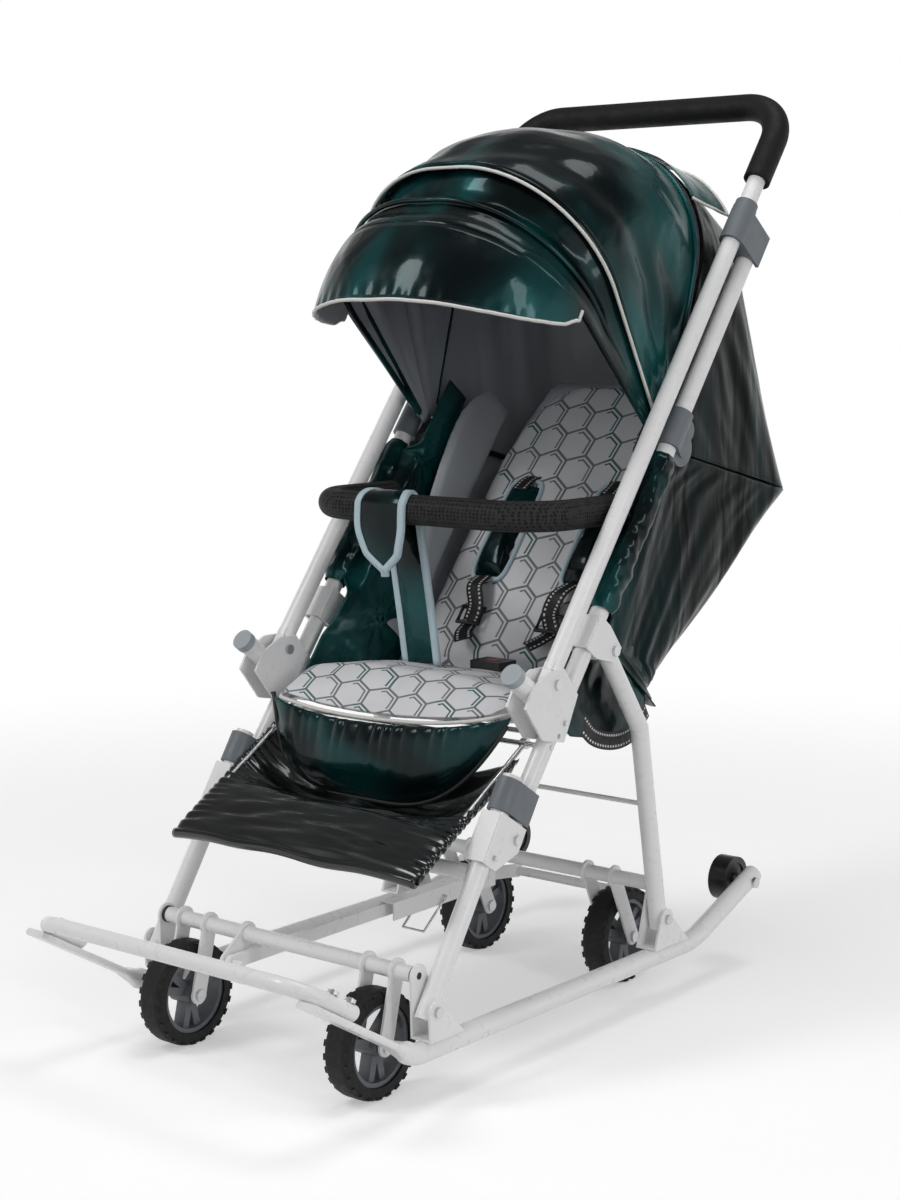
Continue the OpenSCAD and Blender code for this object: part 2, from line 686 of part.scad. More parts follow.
module hood_clamps()
    placed() color("gray") pair() {
        difference() {
            union() {
                along(side_at(clamp_low_t), side_angle, frame_half_w, clamp_len) circle(r = clamp_r);
                yz(frame_half_w - disc_t / 2, disc_t) {
                    spot(hood_at, disc_d);
                    spot(hood_at + clamp_lobe, lobe_d);
                    polygon([side_at(clamp_low_t), hood_at + [0, -disc_d / 2], hood_at + clamp_lobe,
                        side_at(clamp_low_t + clamp_len)]);
                }
            }
            rod(side_at(clamp_low_t - clamp_len), side_at(clamp_low_t + 2 * clamp_len), tube_d + 2 * fit,
                frame_half_w);
        }
        x_rod(hood_at, hood_pin_d, hood_pin_in, frame_half_w - disc_t / 2);
        x_rod(hood_at, disc_d * disc_boss_share, frame_half_w + disc_t / 2, frame_half_w + disc_t);
    }
disc_boss_share = 0.5;
module seat_rods()
    placed() color("silver") for (t = rod_t)
        x_rod(side_at(t), rod_d, -frame_half_w - tube_r - cut, frame_half_w + tube_r + cut);
bumper_at = [24, 611];
bumper_clear = 34;
bumper_half = frame_half_w - bumper_clear;
bumper_len = 150;
bumper_bend = 62;
socket_d = 20;
module bumper_bar()
    placed() color("black") {
        translate([0, bumper_at[0], bumper_at[1]]) rotate([180, 0, 0])
            u_tube(bumper_half, bumper_len, bumper_bend, bumper_d);
        pair() x_rod(socket_at, socket_d, bumper_half, frame_half_w - tube_r - gap);
    }
module upper_screws()
    placed() color("silver") pair() {
        x_screw([0, pivot_z], pin_d, frame_half_w - ear_out, frame_half_w + ear_out, head_d, head_t);
        x_screw(rear_top, pin_d, frame_half_w - ear_out, frame_half_w + ear_out, head_d, head_t);
        for (t = bracket_bolts) for (x = [[-ear_out - head_t, -ear_in], [ear_in, ear_out + head_t]])
            x_rod(side_at(t), pin_d, frame_half_w + x[0], frame_half_w + x[1]);
    }
cover_low_t = 118;
cover_high_t = 332;
cover_puffs = 4;
cover_steps = 42;
cover_r = 17;
cover_dip = 1.2;
cover_wall = 1.5;
cover_len = cover_high_t - cover_low_t;
socket_at = bumper_at + [bumper_len - socket_d / 2, 0];
function cover_out(s) =
    cover_r - cover_wall - cover_dip * cos(360 * cover_puffs * s) * (1 + sin(180 * s)) / 2;
module side_covers()
    placed() color("darkslategray") pair() difference() {
        translate([frame_half_w, side_at(cover_low_t)[0], side_at(cover_low_t)[1]])
            rotate([side_angle - 90, 0, 0]) rotate_extrude($fn = 28) polygon(concat(
                [for (k = [0:cover_steps]) [cover_out(k / cover_steps), k / cover_steps * cover_len]],
                [[tube_r + gap, cover_len], [tube_r + gap, 0]]));
        x_rod(socket_at, socket_d + 2 * gap, bumper_half, frame_half_w);
    }

// Seat apron, hanging in gathers from the seat front
apron_y = -51;
apron_top = 384;
apron_low = 283;
apron_clear = 27;
apron_half = frame_half_w - apron_clear;
apron_cells = [30, 6];
apron_t = 3;
apron_gathers = 9;
apron_wave = 5;
apron_belly = 13;
function apron_at(u, v, out) =
    let (low = lerp(apron_low, apron_top - apron_t, pow(2 * u - 1, 2)))
        [lerp(-apron_half, apron_half, u), apron_y - out - apron_belly * sin(180 * v) * soft(u)
            - apron_wave * (1 + cos(360 * apron_gathers * u)) / 2 * v, lerp(low, apron_top, v)];
module seat_apron()
    placed() color("darkslategray")
        between(function(u, v) apron_at(u, v, apron_t), function(u, v) apron_at(u, v, 0), apron_cells);

// Handle
eye_t = 12;
eye_len = 20;
tube_start = 14;
module handle_frame() translate([0, 0, pivot_z]) rotate([side_angle, 0, 0]) children();
module handle_tube()
    placed() color("white") difference() {
        union() {
            handle_frame() translate([0, handle_len, 0])
                u_tube(frame_half_w, handle_len - tube_start, handle_bend, tube_d);
            pair() yz(frame_half_w - eye_t / 2, eye_t) bar2([0, pivot_z], handle_at(eye_len), tube_d - cut);
        }
        handle_frame() translate([0, handle_len, 0])
            u_tube(frame_half_w, handle_len - tube_start - eye_len, handle_bend, tube_d - 2 * tube_wall);
        pair() x_rod([0, pivot_z], pin_d + 2 * fit, 0, 2 * frame_half_w);
    }
module handle_grip()
    placed() color("black") handle_frame() translate([0, handle_len, 0]) difference() {
        u_tube(frame_half_w, handle_bend + grip_drop, handle_bend, grip_d);
        u_tube(frame_half_w, handle_bend + grip_drop + cut, handle_bend, tube_d + 2 * gap);
    }
collar_below = 33;
collar_len = 45;
ring_below = 17;
ring_above = 26;
cap_above = 18;
collar_low_t = side_top - collar_below;
ring_low_t = side_top - ring_below;
ring_high_t = side_top + ring_above;
cap_ring_t = side_top + cap_above;
collar_web = tube_gap - tube_r - gap;
module top_collars()
    placed() color("gray") pair() difference() {
        union() {
            along(handle_at(collar_low_t), side_angle, frame_half_w, collar_len)
                saddle_block(tube_gap, tube_r);
            along(handle_at(ring_low_t), side_angle, frame_half_w, cap_ring_t - ring_low_t)
                circle(r = sleeve_r - cut / 4);
            along(handle_at(cap_ring_t - cut), side_angle, frame_half_w, ring_high_t - cap_ring_t + cut)
                circle(r = sleeve_r - cut);
        }
        rod(handle_at(collar_low_t - cut), handle_at(ring_high_t + cut), tube_d + 2 * gap, frame_half_w);
        along(handle_at(collar_low_t - cut), side_angle, frame_half_w, collar_len + 2 * cut)
            saddle_slot(tube_gap, tube_r, collar_web);
    }

// Rear legs
rear_tail = 12;
rear_over = 8;
cross_rod_share = 0.40;
rear_in = (rear_bend - rear_top) / norm(rear_bend - rear_top);
rear_out = (rear_foot - rear_bend) / norm(rear_foot - rear_bend);
elbow_d = tube_d + cut / 2;
module rear_legs()
    placed() color("white") {
        pair() difference() {
            union() {
                rod(rear_top - rear_over * rear_in, rear_bend, tube_d, frame_half_w);
                translate([frame_half_w, rear_bend[0], rear_bend[1]]) sphere(d = elbow_d);
                rod(rear_bend, rear_foot + rear_tail * rear_out, tube_d, frame_half_w);
            }
            x_rod(rear_top, pin_d + 2 * fit, 0, 2 * frame_half_w);
        }
        x_rod(lerp(rear_bend, rear_foot, cross_rod_share), rod_d, -frame_half_w, frame_half_w);
    }

// Footrest: a sling of gathered cloth on a wire
foot_front = [-202, 265];
foot_rear = [-26, 367];
foot_t = 7;
foot_sag = 78;
foot_front_sag = 10;
foot_ripple = 2.5;
foot_ripples = 11;
foot_cells = [26, 10];
sag_shares = [0.3, 0.8];
lift_shares = [0.9, 1];
lift_share = 0.35;
function foot_drop(v) =
    lerp(foot_front_sag, foot_sag, ease(sag_shares, v)) * (1 - lift_share * ease(lift_shares, v));
function foot_at(u, v, down) =
    let (p = lerp(foot_front, foot_rear, v), c = soft(u))
        [lerp(-foot_half_w, foot_half_w, u), p[0],
            p[1] - down - c * foot_drop(v) + foot_ripple * cos(360 * foot_ripples * u) * (1 - v) * c];
module footrest_cover()
    placed() color("black")
        between(function(u, v) foot_at(u, v, 0), function(u, v) foot_at(u, v, foot_t), foot_cells);
foot_axis = side_at(rod_t[1]);
wire_clear = 27;
wire_half = frame_half_w - wire_clear;
wire_low = [-196, 244];
wire_dir = (wire_low - foot_axis) / norm(wire_low - foot_axis);
wire_start = 4.5;
module footrest_wire()
    placed() color("silver") {
        pair() {
            difference() {
                x_rod(foot_axis, rod_d + 2 * wire_d, wire_half - wire_d - cut, wire_half + wire_d + cut);
                x_rod(foot_axis, rod_d + 2 * fit, 0, frame_half_w);
            }
            rod(foot_axis + wire_start * wire_dir, wire_low, 2 * wire_d, wire_half);
            translate([wire_half, wire_low[0], wire_low[1]]) sphere(d = 2 * wire_d + cut / 2);
        }
        x_rod(wire_low, 2 * wire_d, -wire_half, wire_half);
    }

// Seat cushion with a crown, drawn-in sides and a rolled front
seat_front = -50;
seat_rear = 168.5;
seat_slope = 0.12;
seat_base = 378;
seat_crown = 8;
seat_channel = 3;
seat_waist_share = 0.08;
seat_edge_share = 0.45;
seat_under_share = 0.30;
seat_top_power = 0.45;
seat_low_power = 0.35;
seat_cells = [20, 14];
function seat_z(y) = seat_base - seat_slope * max(0, y - seat_front - seat_t);
function plump(u, v, k) = pow(soft(u) * soft(v), k);
function seat_plan(u, v) =
    [lerp(-seat_half_w, seat_half_w, u) * (1 - seat_waist_share * pow(abs(2 * v - 1), 4)),
        lerp(seat_front, seat_rear, v)];
function seat_up(u, v) = let (p = seat_plan(u, v))
    [p[0], p[1], seat_z(p[1]) + seat_t * lerp(seat_edge_share, 1, plump(u, v, seat_top_power))
        + (seat_crown - seat_channel * pow(cos(540 * u - 270), 8)) * plump(u, v, 1)];
function seat_down(u, v) = let (p = seat_plan(u, v))
    [p[0], p[1], seat_z(p[1]) + seat_t * seat_under_share * (1 - plump(u, v, seat_low_power))];
module seat_cushion()
    placed() color("whitesmoke")
        between(function(u, v) seat_up(u, v), function(u, v) seat_down(u, v), seat_cells);
strap_w = 56;
strap_x = -36;
strap_t = 3;
strap_from = [62, 418.5];
strap_to = [36, 588];
module crotch_strap()
    placed() color("darkslategray")
        yz(strap_x - strap_w / 2, strap_w)
            polygon([strap_from, strap_from + [strap_t, 0], strap_to + [strap_t, 0], strap_to]);
buckle_at = [42, 112, 414];
buckle_size = [44, 34, 12];
button_size = [16, 12, 9];
button_up = 3;
module buckle()
    placed() color("black") translate(buckle_at) difference() {
        translate([-buckle_size[0] / 2, -buckle_size[1] / 2, 0]) cube(buckle_size);
        translate([-button_size[0] / 2 - gap, -button_size[1] / 2 - gap, buckle_size[2] - button_size[2]])
            cube([button_size[0] + 2 * gap, button_size[1] + 2 * gap, button_size[2]]);
    }
module buckle_button()
    placed() color("red") translate(buckle_at)
        translate([-button_size[0] / 2, -button_size[1] / 2,
            buckle_size[2] - button_size[2] + button_up + gap])
            cube([button_size[0], button_size[1], button_size[2] - button_up]);

// Reclining back
recline_at = [175, 365];
recline_d = 10;
plate_half = back_half_w + gap + plate_t;
arm_len = 60;
arm_w = 24;
back_angle = 52;
back_dir2 = [cos(back_angle), sin(back_angle)];
back_out = [-sin(back_angle), cos(back_angle)];
module recline_rod()
    placed() color("silver") {
        x_rod(recline_at, recline_d, -plate_half, plate_half);
        pair() yz(plate_half - plate_t, plate_t) bar2(recline_at, recline_at + arm_len * back_dir2, arm_w);
    }
function back_pt(x, a, h) = let (p = recline_at + a * back_dir2 + h * back_out) [x, p[0], p[1]];
back_low = 20;
back_t = 40;
back_face = 22;
back_crown = 7;
back_channel = 4;
back_taper_share = 0.22;
back_straight_share = 0.55;
back_edge_share = 0.42;
back_power = 0.4;
back_taper_power = 2.5;
back_cells = [20, 18];
function back_in(v) = pow(max(0, v - back_straight_share) / (1 - back_straight_share), back_taper_power);
function back_x(u, v) = lerp(-back_half_w, back_half_w, u) * (1 - back_taper_share * back_in(v));
function back_up(u, v) = back_pt(back_x(u, v), back_low + back_len * v,
    back_face - back_t * back_edge_share + (back_t * back_edge_share + back_crown) * plump(u, v, back_power)
        - back_channel * pow(cos(540 * u - 270), 8) * soft(v));
function back_under(u, v) = back_pt(back_x(u, v), back_low + back_len * v,
    back_face - back_t + back_t * back_edge_share * (1 - plump(u, v, back_power)));
module back_pad()
    placed() color("whitesmoke")
        between(function(u, v) back_up(u, v), function(u, v) back_under(u, v), back_cells);
wing_t = 13;
wing_gap = 5;
wing_out = back_half_w - wing_gap;
wing_in = wing_out - wing_t;
wing_low = 130;
wing_high = 410;
wing_from = 34;
wing_deep = [60, 105];
wing_tuft = 2;
wing_round_out = 4;
wing_round_in = 4;
wing_taper = 1.5;
wing_rise_share = 0.55;
tuft_shares = [0.5, 0.6];
tuft_tight = 60;
wing_cells = [8, 14];
function wing_pinch(u, v) =
    wing_tuft * exp(-(pow(u - tuft_shares[0], 2) + pow(v - tuft_shares[1], 2)) * tuft_tight);
function wing_x(u, k, side) =
    let (r = pow(abs(2 * u - 1), 3))
        side > 0 ? wing_out - wing_round_out * r - wing_taper * (1 - k)
            : wing_in + wing_round_in * r + wing_taper * (1 - k);
function wing_pt(u, v, side) =
    let (k = soft(v), h = wing_from + lerp(wing_deep[0], wing_deep[1], v) * u * lerp(wing_rise_share, 1, k))
        back_pt(wing_x(u, k, side) + (1 - side) * wing_pinch(u, v), lerp(wing_low, wing_high, v), h);
module side_wings()
    placed() color("darkslategray") pair()
        between(function(u, v) wing_pt(1 - u, v, 1), function(u, v) wing_pt(1 - u, v, 0), wing_cells);
pad_x = 70;
pad_half = 26;
pad_low = 150;
pad_high = 300;
pad_gap = 29.3;
pad_t = 16;
pad_power = 0.4;
pad_cells = [6, 10];
function shoulder_pt(u, v, h) = back_pt(lerp(pad_x - pad_half, pad_x + pad_half, u),
    lerp(pad_low, pad_high, v), pad_gap + h * plump(u, v, pad_power));
module shoulder_pads()
    placed() color("darkslategray") pair()
        between(function(u, v) shoulder_pt(u, v, pad_t) + [0, -cut, cut],
            function(u, v) shoulder_pt(u, v, 0), pad_cells);

// Hood: a bow, a stretched rear panel, the rear cover, the middle panel and the visor
bow_d = 8;
bow_clear = 34;
bow_half = frame_half_w - bow_clear;
bow_hub_d = 26;
bow_hub_t = 7;
bow_corner = 60;
bow_inset = 14;
bow_inner = bow_r - bow_inset;
module hood_bow()
    placed() color("dimgray") difference() {
        translate([0, hood_at[0], hood_at[1]]) rotate([bow_angle, 0, 0]) {
            translate([0, bow_inner, 0]) u_tube(bow_half, bow_inner, bow_corner, bow_d);
            pair() translate([bow_half - bow_hub_t / 2, 0, 0]) rotate([0, 90, 0])
                cylinder(d = bow_hub_d, h = bow_hub_t);
        }
        pair() x_rod(hood_at, hood_pin_d + 2 * fit, 0, frame_half_w);
    }
rear_in_r = 24;
wall_share = 0.3;
roof_share = 0.9;
ridge_angle = 50;
ridge_share = 0.3;
rear_cells = [32, 10];
// Half of the section of a hood panel, from the side wall over the corner to the roof
function section(k, w, r, c, r_in) =
    k < wall_share ? [w, lerp(r_in, r - c, k / wall_share)]
    : k < roof_share ? let (a = (k - wall_share) / (roof_share - wall_share) * 90)
        [w - c + c * cos(a), r - c + c * sin(a)]
    : [(w - c) * (1 - (k - roof_share) / (1 - roof_share)), r];
function full_section(u, w, r, c, r_in) =
    2 * u < 1 ? let (p = section(2 * u, w, r, c, r_in)) [-p[0], p[1]]
    : section(2 - 2 * u, w, r, c, r_in);
// Round the pivot from the middle panel to the ridge, then straight down to the bow
function rear_at(u, v, inset) =
    let (p = full_section(u, rear_half_w - inset, hood_r + hood_t + hood_gap - inset, hood_corner,
            rear_in_r),
        q = full_section(u, rear_half_w - inset, bow_r - inset, bow_corner, rear_in_r),
        k = max(0, v - ridge_share) / (1 - ridge_share),
        a = polar(p[1], lerp(rear_panel_angle, ridge_angle, min(1, v / ridge_share))),
        b = polar(q[1], bow_angle))
        [lerp(p[0], q[0], k), lerp(a[0], b[0], k), lerp(a[1], b[1], k)];
module hood_rear()
    placed() color("darkslategray")
        between(function(u, v) rear_at(u, v, 0), function(u, v) rear_at(u, v, hood_t), rear_cells);
cover_drop = 0.4;
cover_rear = [252, 366];
cover_from = 30;
function below_bow(r) = polar(r, bow_angle) + cover_drop * [sin(bow_angle), -cos(bow_angle)];
cover_corner = below_bow(bow_r - cut);
cover_fall = (cover_rear - cover_corner) / norm(cover_rear - cover_corner);
cover_in = [cover_fall[1], -cover_fall[0]];
cover_front_gap = 20;
module back_cover()
    placed() color("darkslategray") {
        yz(-rear_half_w, 2 * rear_half_w) polygon([cover_corner, cover_rear, cover_rear - hood_t * cover_in,
            cover_corner - hood_t * cover_in]);
        pair() yz(rear_half_w - hood_t, hood_t) polygon([cover_corner, cover_rear,
            side_at(hinge_high_t, cover_front_gap + hinge_back),
            side_at(clamp_low_t - cover_from, cover_front_gap), below_bow(cover_from)]);
    }
module hood_section(w, r, c, t, r_in) {
    difference() {
        union() {
            translate([0, -w]) square([r - c, 2 * w]);
            translate([0, c - w]) square([r, 2 * (w - c)]);
            for (s = [-1, 1]) translate([r - c, s * (w - c)]) circle(r = c, $fn = 64);
        }
        translate([-cut, t - w]) square([r - c + cut, 2 * (w - t)]);
        translate([-cut, c - w]) square([r - t + cut, 2 * (w - c)]);
        for (s = [-1, 1]) translate([r - c, s * (w - c)]) circle(r = c - t, $fn = 64);
        translate([-cut, -2 * w]) square([r_in + cut, 4 * w]);
    }
}
module hood_shell(w, r, c, a0, a1)
    difference() {
        union() {
            translate([0, hood_at[0], hood_at[1]]) rotate([0, 90, 0]) rotate([0, 0, a0 + 90])
                rotate_extrude(angle = a1 - a0) hood_section(w, r, c, hood_t, hood_pin_d);
            pair() x_rod(hood_at, 2 * bow_hub_d, w - hood_t + weld_t, w - weld_t);
        }
        pair() x_rod(hood_at, hood_pin_d + 2 * fit, 0, frame_half_w);
    }
mid_angles = [74, 120];
visor_angles = [108, 136];
visor_in = hood_t + hood_gap;
visor_half_w = hood_half_w - visor_in;
visor_r = hood_r - visor_in;
visor_corner = hood_corner - visor_in;
module hood_mid()
    placed() color("darkslategray")
        hood_shell(hood_half_w, hood_r, hood_corner, mid_angles[0], mid_angles[1]);
brim_drop = 84;
brim_end_drop = 10;
brim_lean = 0.6;
brim_from_share = 0.14;
brim_lap = 0.4;
brim_cells = [22, 4];
brim_sag = hood_t / 2;
function brim_edge(u) = full_section(lerp(brim_from_share, 1 - brim_from_share, u),
    visor_half_w - brim_sag, visor_r - brim_sag, visor_corner - brim_sag, hood_pin_d);
function brim_fall(u) = lerp(brim_drop, brim_end_drop, pow(2 * u - 1, 2));
function brim_at(u, v, inset) =
    let (p = brim_edge(u), e = polar(p[1], visor_angles[1] - brim_lap))
        [p[0] * (1 - inset / visor_half_w), e[0] + inset - v * brim_fall(u) * brim_lean,
            e[1] - v * brim_fall(u)];
module hood_visor()
    placed() color("darkslategray") {
        hood_shell(visor_half_w, visor_r, visor_corner, visor_angles[0], visor_angles[1]);
        between(function(u, v) brim_at(u, 1 - v, 0), function(u, v) brim_at(u, 1 - v, hood_t), brim_cells);
    }

runner_left();
runner_right();
front_crossbar();
front_brackets();
rear_brackets();
axle_bushes();
base_screws();
tail_wheel_left();
tail_wheel_right();
rear_axle();
rear_forks();
pedal();
rear_wheel_pins();
front_axle();
front_forks();
front_wheel_pins();
tyre_fl();
tyre_fr();
tyre_rl();
tyre_rr();
rim_fl();
rim_fr();
rim_rl();
rim_rr();
link_channel();
link_bar();
lock_bail();
lower_legs();
knee_brackets();
knee_screws();
knee_sleeves();
side_tubes();
seat_brackets();
tube_caps();
rear_hinge_brackets();
hood_clamps();
seat_rods();
bumper_bar();
upper_screws();
side_covers();
seat_apron();
handle_tube();
handle_grip();
top_collars();
rear_legs();
footrest_cover();
footrest_wire();
seat_cushion();
crotch_strap();
buckle();
buckle_button();
recline_rod();
back_pad();
side_wings();
shoulder_pads();
hood_bow();
hood_rear();
back_cover();
hood_mid();
hood_visor();
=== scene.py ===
import math
import bpy
import numpy as np
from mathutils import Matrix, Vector, noise


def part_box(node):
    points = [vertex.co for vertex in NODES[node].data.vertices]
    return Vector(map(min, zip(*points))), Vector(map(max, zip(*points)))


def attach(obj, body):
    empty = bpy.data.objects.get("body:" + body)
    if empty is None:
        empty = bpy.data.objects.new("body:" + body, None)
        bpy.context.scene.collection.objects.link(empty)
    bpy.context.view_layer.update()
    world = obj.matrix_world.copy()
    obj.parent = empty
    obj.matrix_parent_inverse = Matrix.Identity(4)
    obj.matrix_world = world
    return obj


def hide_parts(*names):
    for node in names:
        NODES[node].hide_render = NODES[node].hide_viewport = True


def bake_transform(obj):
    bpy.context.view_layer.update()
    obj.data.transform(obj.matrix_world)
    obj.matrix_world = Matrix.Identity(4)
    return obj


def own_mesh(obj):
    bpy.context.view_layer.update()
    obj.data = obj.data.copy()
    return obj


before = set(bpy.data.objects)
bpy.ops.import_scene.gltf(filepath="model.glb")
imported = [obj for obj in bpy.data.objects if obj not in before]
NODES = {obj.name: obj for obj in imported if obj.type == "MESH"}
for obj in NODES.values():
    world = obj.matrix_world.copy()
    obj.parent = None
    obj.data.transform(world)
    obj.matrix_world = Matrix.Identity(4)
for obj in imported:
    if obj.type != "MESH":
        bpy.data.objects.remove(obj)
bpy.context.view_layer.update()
scene = bpy.context.scene

# Lengths below are in millimetres, with y counted from the handle pivot
MM = 0.001
AXLE_Y = -0.211
axle_low, axle_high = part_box("front_axle")
MID = AXLE_Y - (axle_low.y + axle_high.y) / 2
# The hood's pivot, the foot of the back, and the lean of the back, the side tubes and the bow
HOOD = (266.0, 680.0)
BACK_AT = (175.0, 365.0)
BACK_ANGLE = math.radians(52)
SIDE_ANGLE = math.radians(53)
BOW_ANGLE = math.radians(13)
BACK_C, BACK_S = math.cos(BACK_ANGLE), math.sin(BACK_ANGLE)
SIDE_C, SIDE_S = math.cos(SIDE_ANGLE), math.sin(SIDE_ANGLE)
# The side tubes: the height of the pivot, half their distance apart and their offset from the pivot's line
PIVOT_Z = 430.0
HALF_W = 205.0
TUBE_OFF = 39.0
SIDES = ((-1, "l"), (1, "r"))


def P(x, y, z):
    """A point in metres in the frame, from millimetres."""
    return Vector((x * MM, y * MM - MID, z * MM))


def lerp(a, b, k):
    return a + (b - a) * k


def smooth(a, b, x):
    k = min(1.0, max(0.0, (x - a) / (b - a)))
    return k * k * (3 - 2 * k)


def bell(x, w):
    return math.exp(-(x / w) ** 2)


def wave(x, y, z=0.0):
    return noise.noise(Vector((x, y, z)))


def side_at(along, behind=0.0):
    """The y and z of a place along a side tube and behind it."""
    off = TUBE_OFF + behind
    return (along * SIDE_C + off * SIDE_S, PIVOT_Z + along * SIDE_S - off * SIDE_C)


def back_at(x, along, out):
    """A place across the back, along it and out of it."""
    y = BACK_AT[0] + along * BACK_C - out * BACK_S
    z = BACK_AT[1] + along * BACK_S + out * BACK_C
    return (x, y, z)


# Materials
def new_mat(name, color, rough, **sockets):
    m = bpy.data.materials.new(name)
    m.use_nodes = True
    b = m.node_tree.nodes["Principled BSDF"]
    b.inputs["Base Color"].default_value = (*color, 1)
    b.inputs["Roughness"].default_value = rough
    for k, v in sockets.items():
        b.inputs[k.replace("_", " ")].default_value = v
    return m, m.node_tree, b


def feed(t, socket, value):
    if isinstance(value, bpy.types.NodeSocket):
        t.links.new(value, socket)
    elif value is not None:
        socket.default_value = value


def calc(t, op, a, b=None, c=None):
    n = t.nodes.new("ShaderNodeMath")
    n.operation = op
    for socket, value in zip(n.inputs, (a, b, c)):
        feed(t, socket, value)
    return n.outputs[0]


def vcalc(t, op, a, b=None, out=0):
    n = t.nodes.new("ShaderNodeVectorMath")
    n.operation = op
    feed(t, n.inputs[0], a)
    feed(t, n.inputs[1], b)
    return n.outputs[out]


def ramp(t, value, a, b, lo=0.0, hi=1.0):
    n = t.nodes.new("ShaderNodeMapRange")
    n.interpolation_type = "SMOOTHSTEP"
    for socket, v in zip(n.inputs, (value, a, b, lo, hi)):
        feed(t, socket, v)
    return n.outputs[0]


def mix(t, k, a, b):
    n = t.nodes.new("ShaderNodeMix")
    n.data_type = "RGBA"
    feed(t, n.inputs[0], k)
    feed(t, n.inputs[6], a if isinstance(a, bpy.types.NodeSocket) else (*a, 1))
    feed(t, n.inputs[7], b if isinstance(b, bpy.types.NodeSocket) else (*b, 1))
    return n.outputs[2]


def place(t, stretch=(1, 1, 1)):
    c = t.nodes.new("ShaderNodeTexCoord")
    n = t.nodes.new("ShaderNodeMapping")
    n.inputs["Scale"].default_value = stretch
    t.links.new(c.outputs["Object"], n.inputs[0])
    return n.outputs[0]


def grain(t, scale, detail=3.0, stretch=(1, 1, 1), twist=0.0):
    n = t.nodes.new("ShaderNodeTexNoise")
    n.inputs["Scale"].default_value = scale
    n.inputs["Detail"].default_value = detail
    n.inputs["Distortion"].default_value = twist
    t.links.new(place(t, stretch), n.inputs["Vector"])
    return n.outputs["Fac"]


def bump(t, b, height, strength, distance, below=None):
    n = t.nodes.new("ShaderNodeBump")
    n.inputs["Strength"].default_value = strength
    n.inputs["Distance"].default_value = distance
    t.links.new(height, n.inputs["Height"])
    if below:
        t.links.new(below, n.inputs["Normal"])
    t.links.new(n.outputs[0], b.inputs["Normal"])
    return n.outputs[0]


def attribute(t, name):
    n = t.nodes.new("ShaderNodeAttribute")
    n.attribute_name = name
    return n.outputs["Vector"]


def split(t, vector):
    n = t.nodes.new("ShaderNodeSeparateXYZ")
    t.links.new(vector, n.inputs[0])
    return n.outputs


def tint(t, b, k, a, c):
    """A base colour that goes from a to c with k."""
    t.links.new(mix(t, k, a, c), b.inputs["Base Color"])


def gloss(t, b, field, low, high):
    """A roughness that follows a grain from low to high."""
    t.links.new(ramp(t, field, 0.3, 0.7, low, high), b.inputs["Roughness"])


GLOSS_SPREAD = 0.08


def finish_mat(name, color, rough, tone, fine, depth, scale=30, **sockets):
    """A plain finish, a little uneven in tone and gloss, with a fine grain."""
    m, t, b = new_mat(name, color, rough, **sockets)
    dark = tuple(c * (1 - tone) for c in color)
    pale = tuple(min(1, c * (1 + tone)) for c in color)
    tint(t, b, grain(t, scale), dark, pale)
    gloss(t, b, grain(t, scale * 3), rough - GLOSS_SPREAD, rough + GLOSS_SPREAD)
    bump(t, b, grain(t, fine, 2), depth, 0.001)
    return m


WHITE = finish_mat("white_paint", (0.86, 0.857, 0.862), 0.34, tone=0.02, fine=450, depth=0.03,
                   Coat_Weight=0.25, Coat_Roughness=0.15)
GREY = finish_mat("grey_plastic", (0.145, 0.163, 0.18), 0.46, tone=0.07, fine=1400, depth=0.06)
RIM = finish_mat("rim_plastic", (0.12, 0.13, 0.143), 0.42, tone=0.1, fine=1200, depth=0.05)
CAP = finish_mat("cap_plastic", (0.36, 0.40, 0.42), 0.5, tone=0.05, fine=1400, depth=0.05)
DARK = finish_mat("dark_plastic", (0.012, 0.012, 0.013), 0.36, tone=0.2, fine=900, depth=0.05)
RED = finish_mat("red_plastic", (0.42, 0.008, 0.015), 0.35, tone=0.1, fine=900, depth=0.04)
RUBBER = finish_mat("tyre_rubber", (0.009, 0.0088, 0.0085), 0.6, tone=0.35, fine=600, depth=0.12, scale=60,
                    Specular_IOR_Level=0.28)
GRIP = finish_mat("grip_foam", (0.006, 0.006, 0.0063), 0.58, tone=0.25, fine=900, depth=0.18, scale=25,
                  Specular_IOR_Level=0.2)
PIPING = finish_mat("white_piping", (0.74, 0.73, 0.70), 0.55, tone=0.05, fine=2500, depth=0.2)
BINDING = finish_mat("pale_binding", (0.50, 0.63, 0.69), 0.6, tone=0.05, fine=1800, depth=0.3)
BLACK_CLOTH = finish_mat("black_cloth", (0.007, 0.008, 0.009), 0.55, tone=0.3, fine=1500, depth=0.25)


def steel():
    m, t, b = new_mat("plated_steel", (0.60, 0.61, 0.62), 0.26, Metallic=1.0)
    streak = grain(t, 60, 4, (1, 0.15, 1))
    tint(t, b, streak, (0.50, 0.51, 0.52), (0.70, 0.71, 0.72))
    gloss(t, b, streak, 0.2, 0.34)
    bump(t, b, grain(t, 900, 2), 0.03, 0.0005)
    return m


def knit():
    m, t, b = new_mat("knit_foam", (0.012, 0.012, 0.0125), 0.7, Specular_IOR_Level=0.2)
    v = t.nodes.new("ShaderNodeTexVoronoi")
    v.inputs["Scale"].default_value = 240
    v.inputs["Randomness"].default_value = 0.25
    t.links.new(place(t, (0.75, 1, 1)), v.inputs["Vector"])
    cell = ramp(t, v.outputs["Distance"], 0.15, 0.6)
    tint(t, b, cell, (0.0008, 0.0008, 0.0008), (0.03, 0.03, 0.031))
    gloss(t, b, grain(t, 40), 0.6, 0.8)
    bump(t, b, cell, 0.7, 0.0012)
    return m


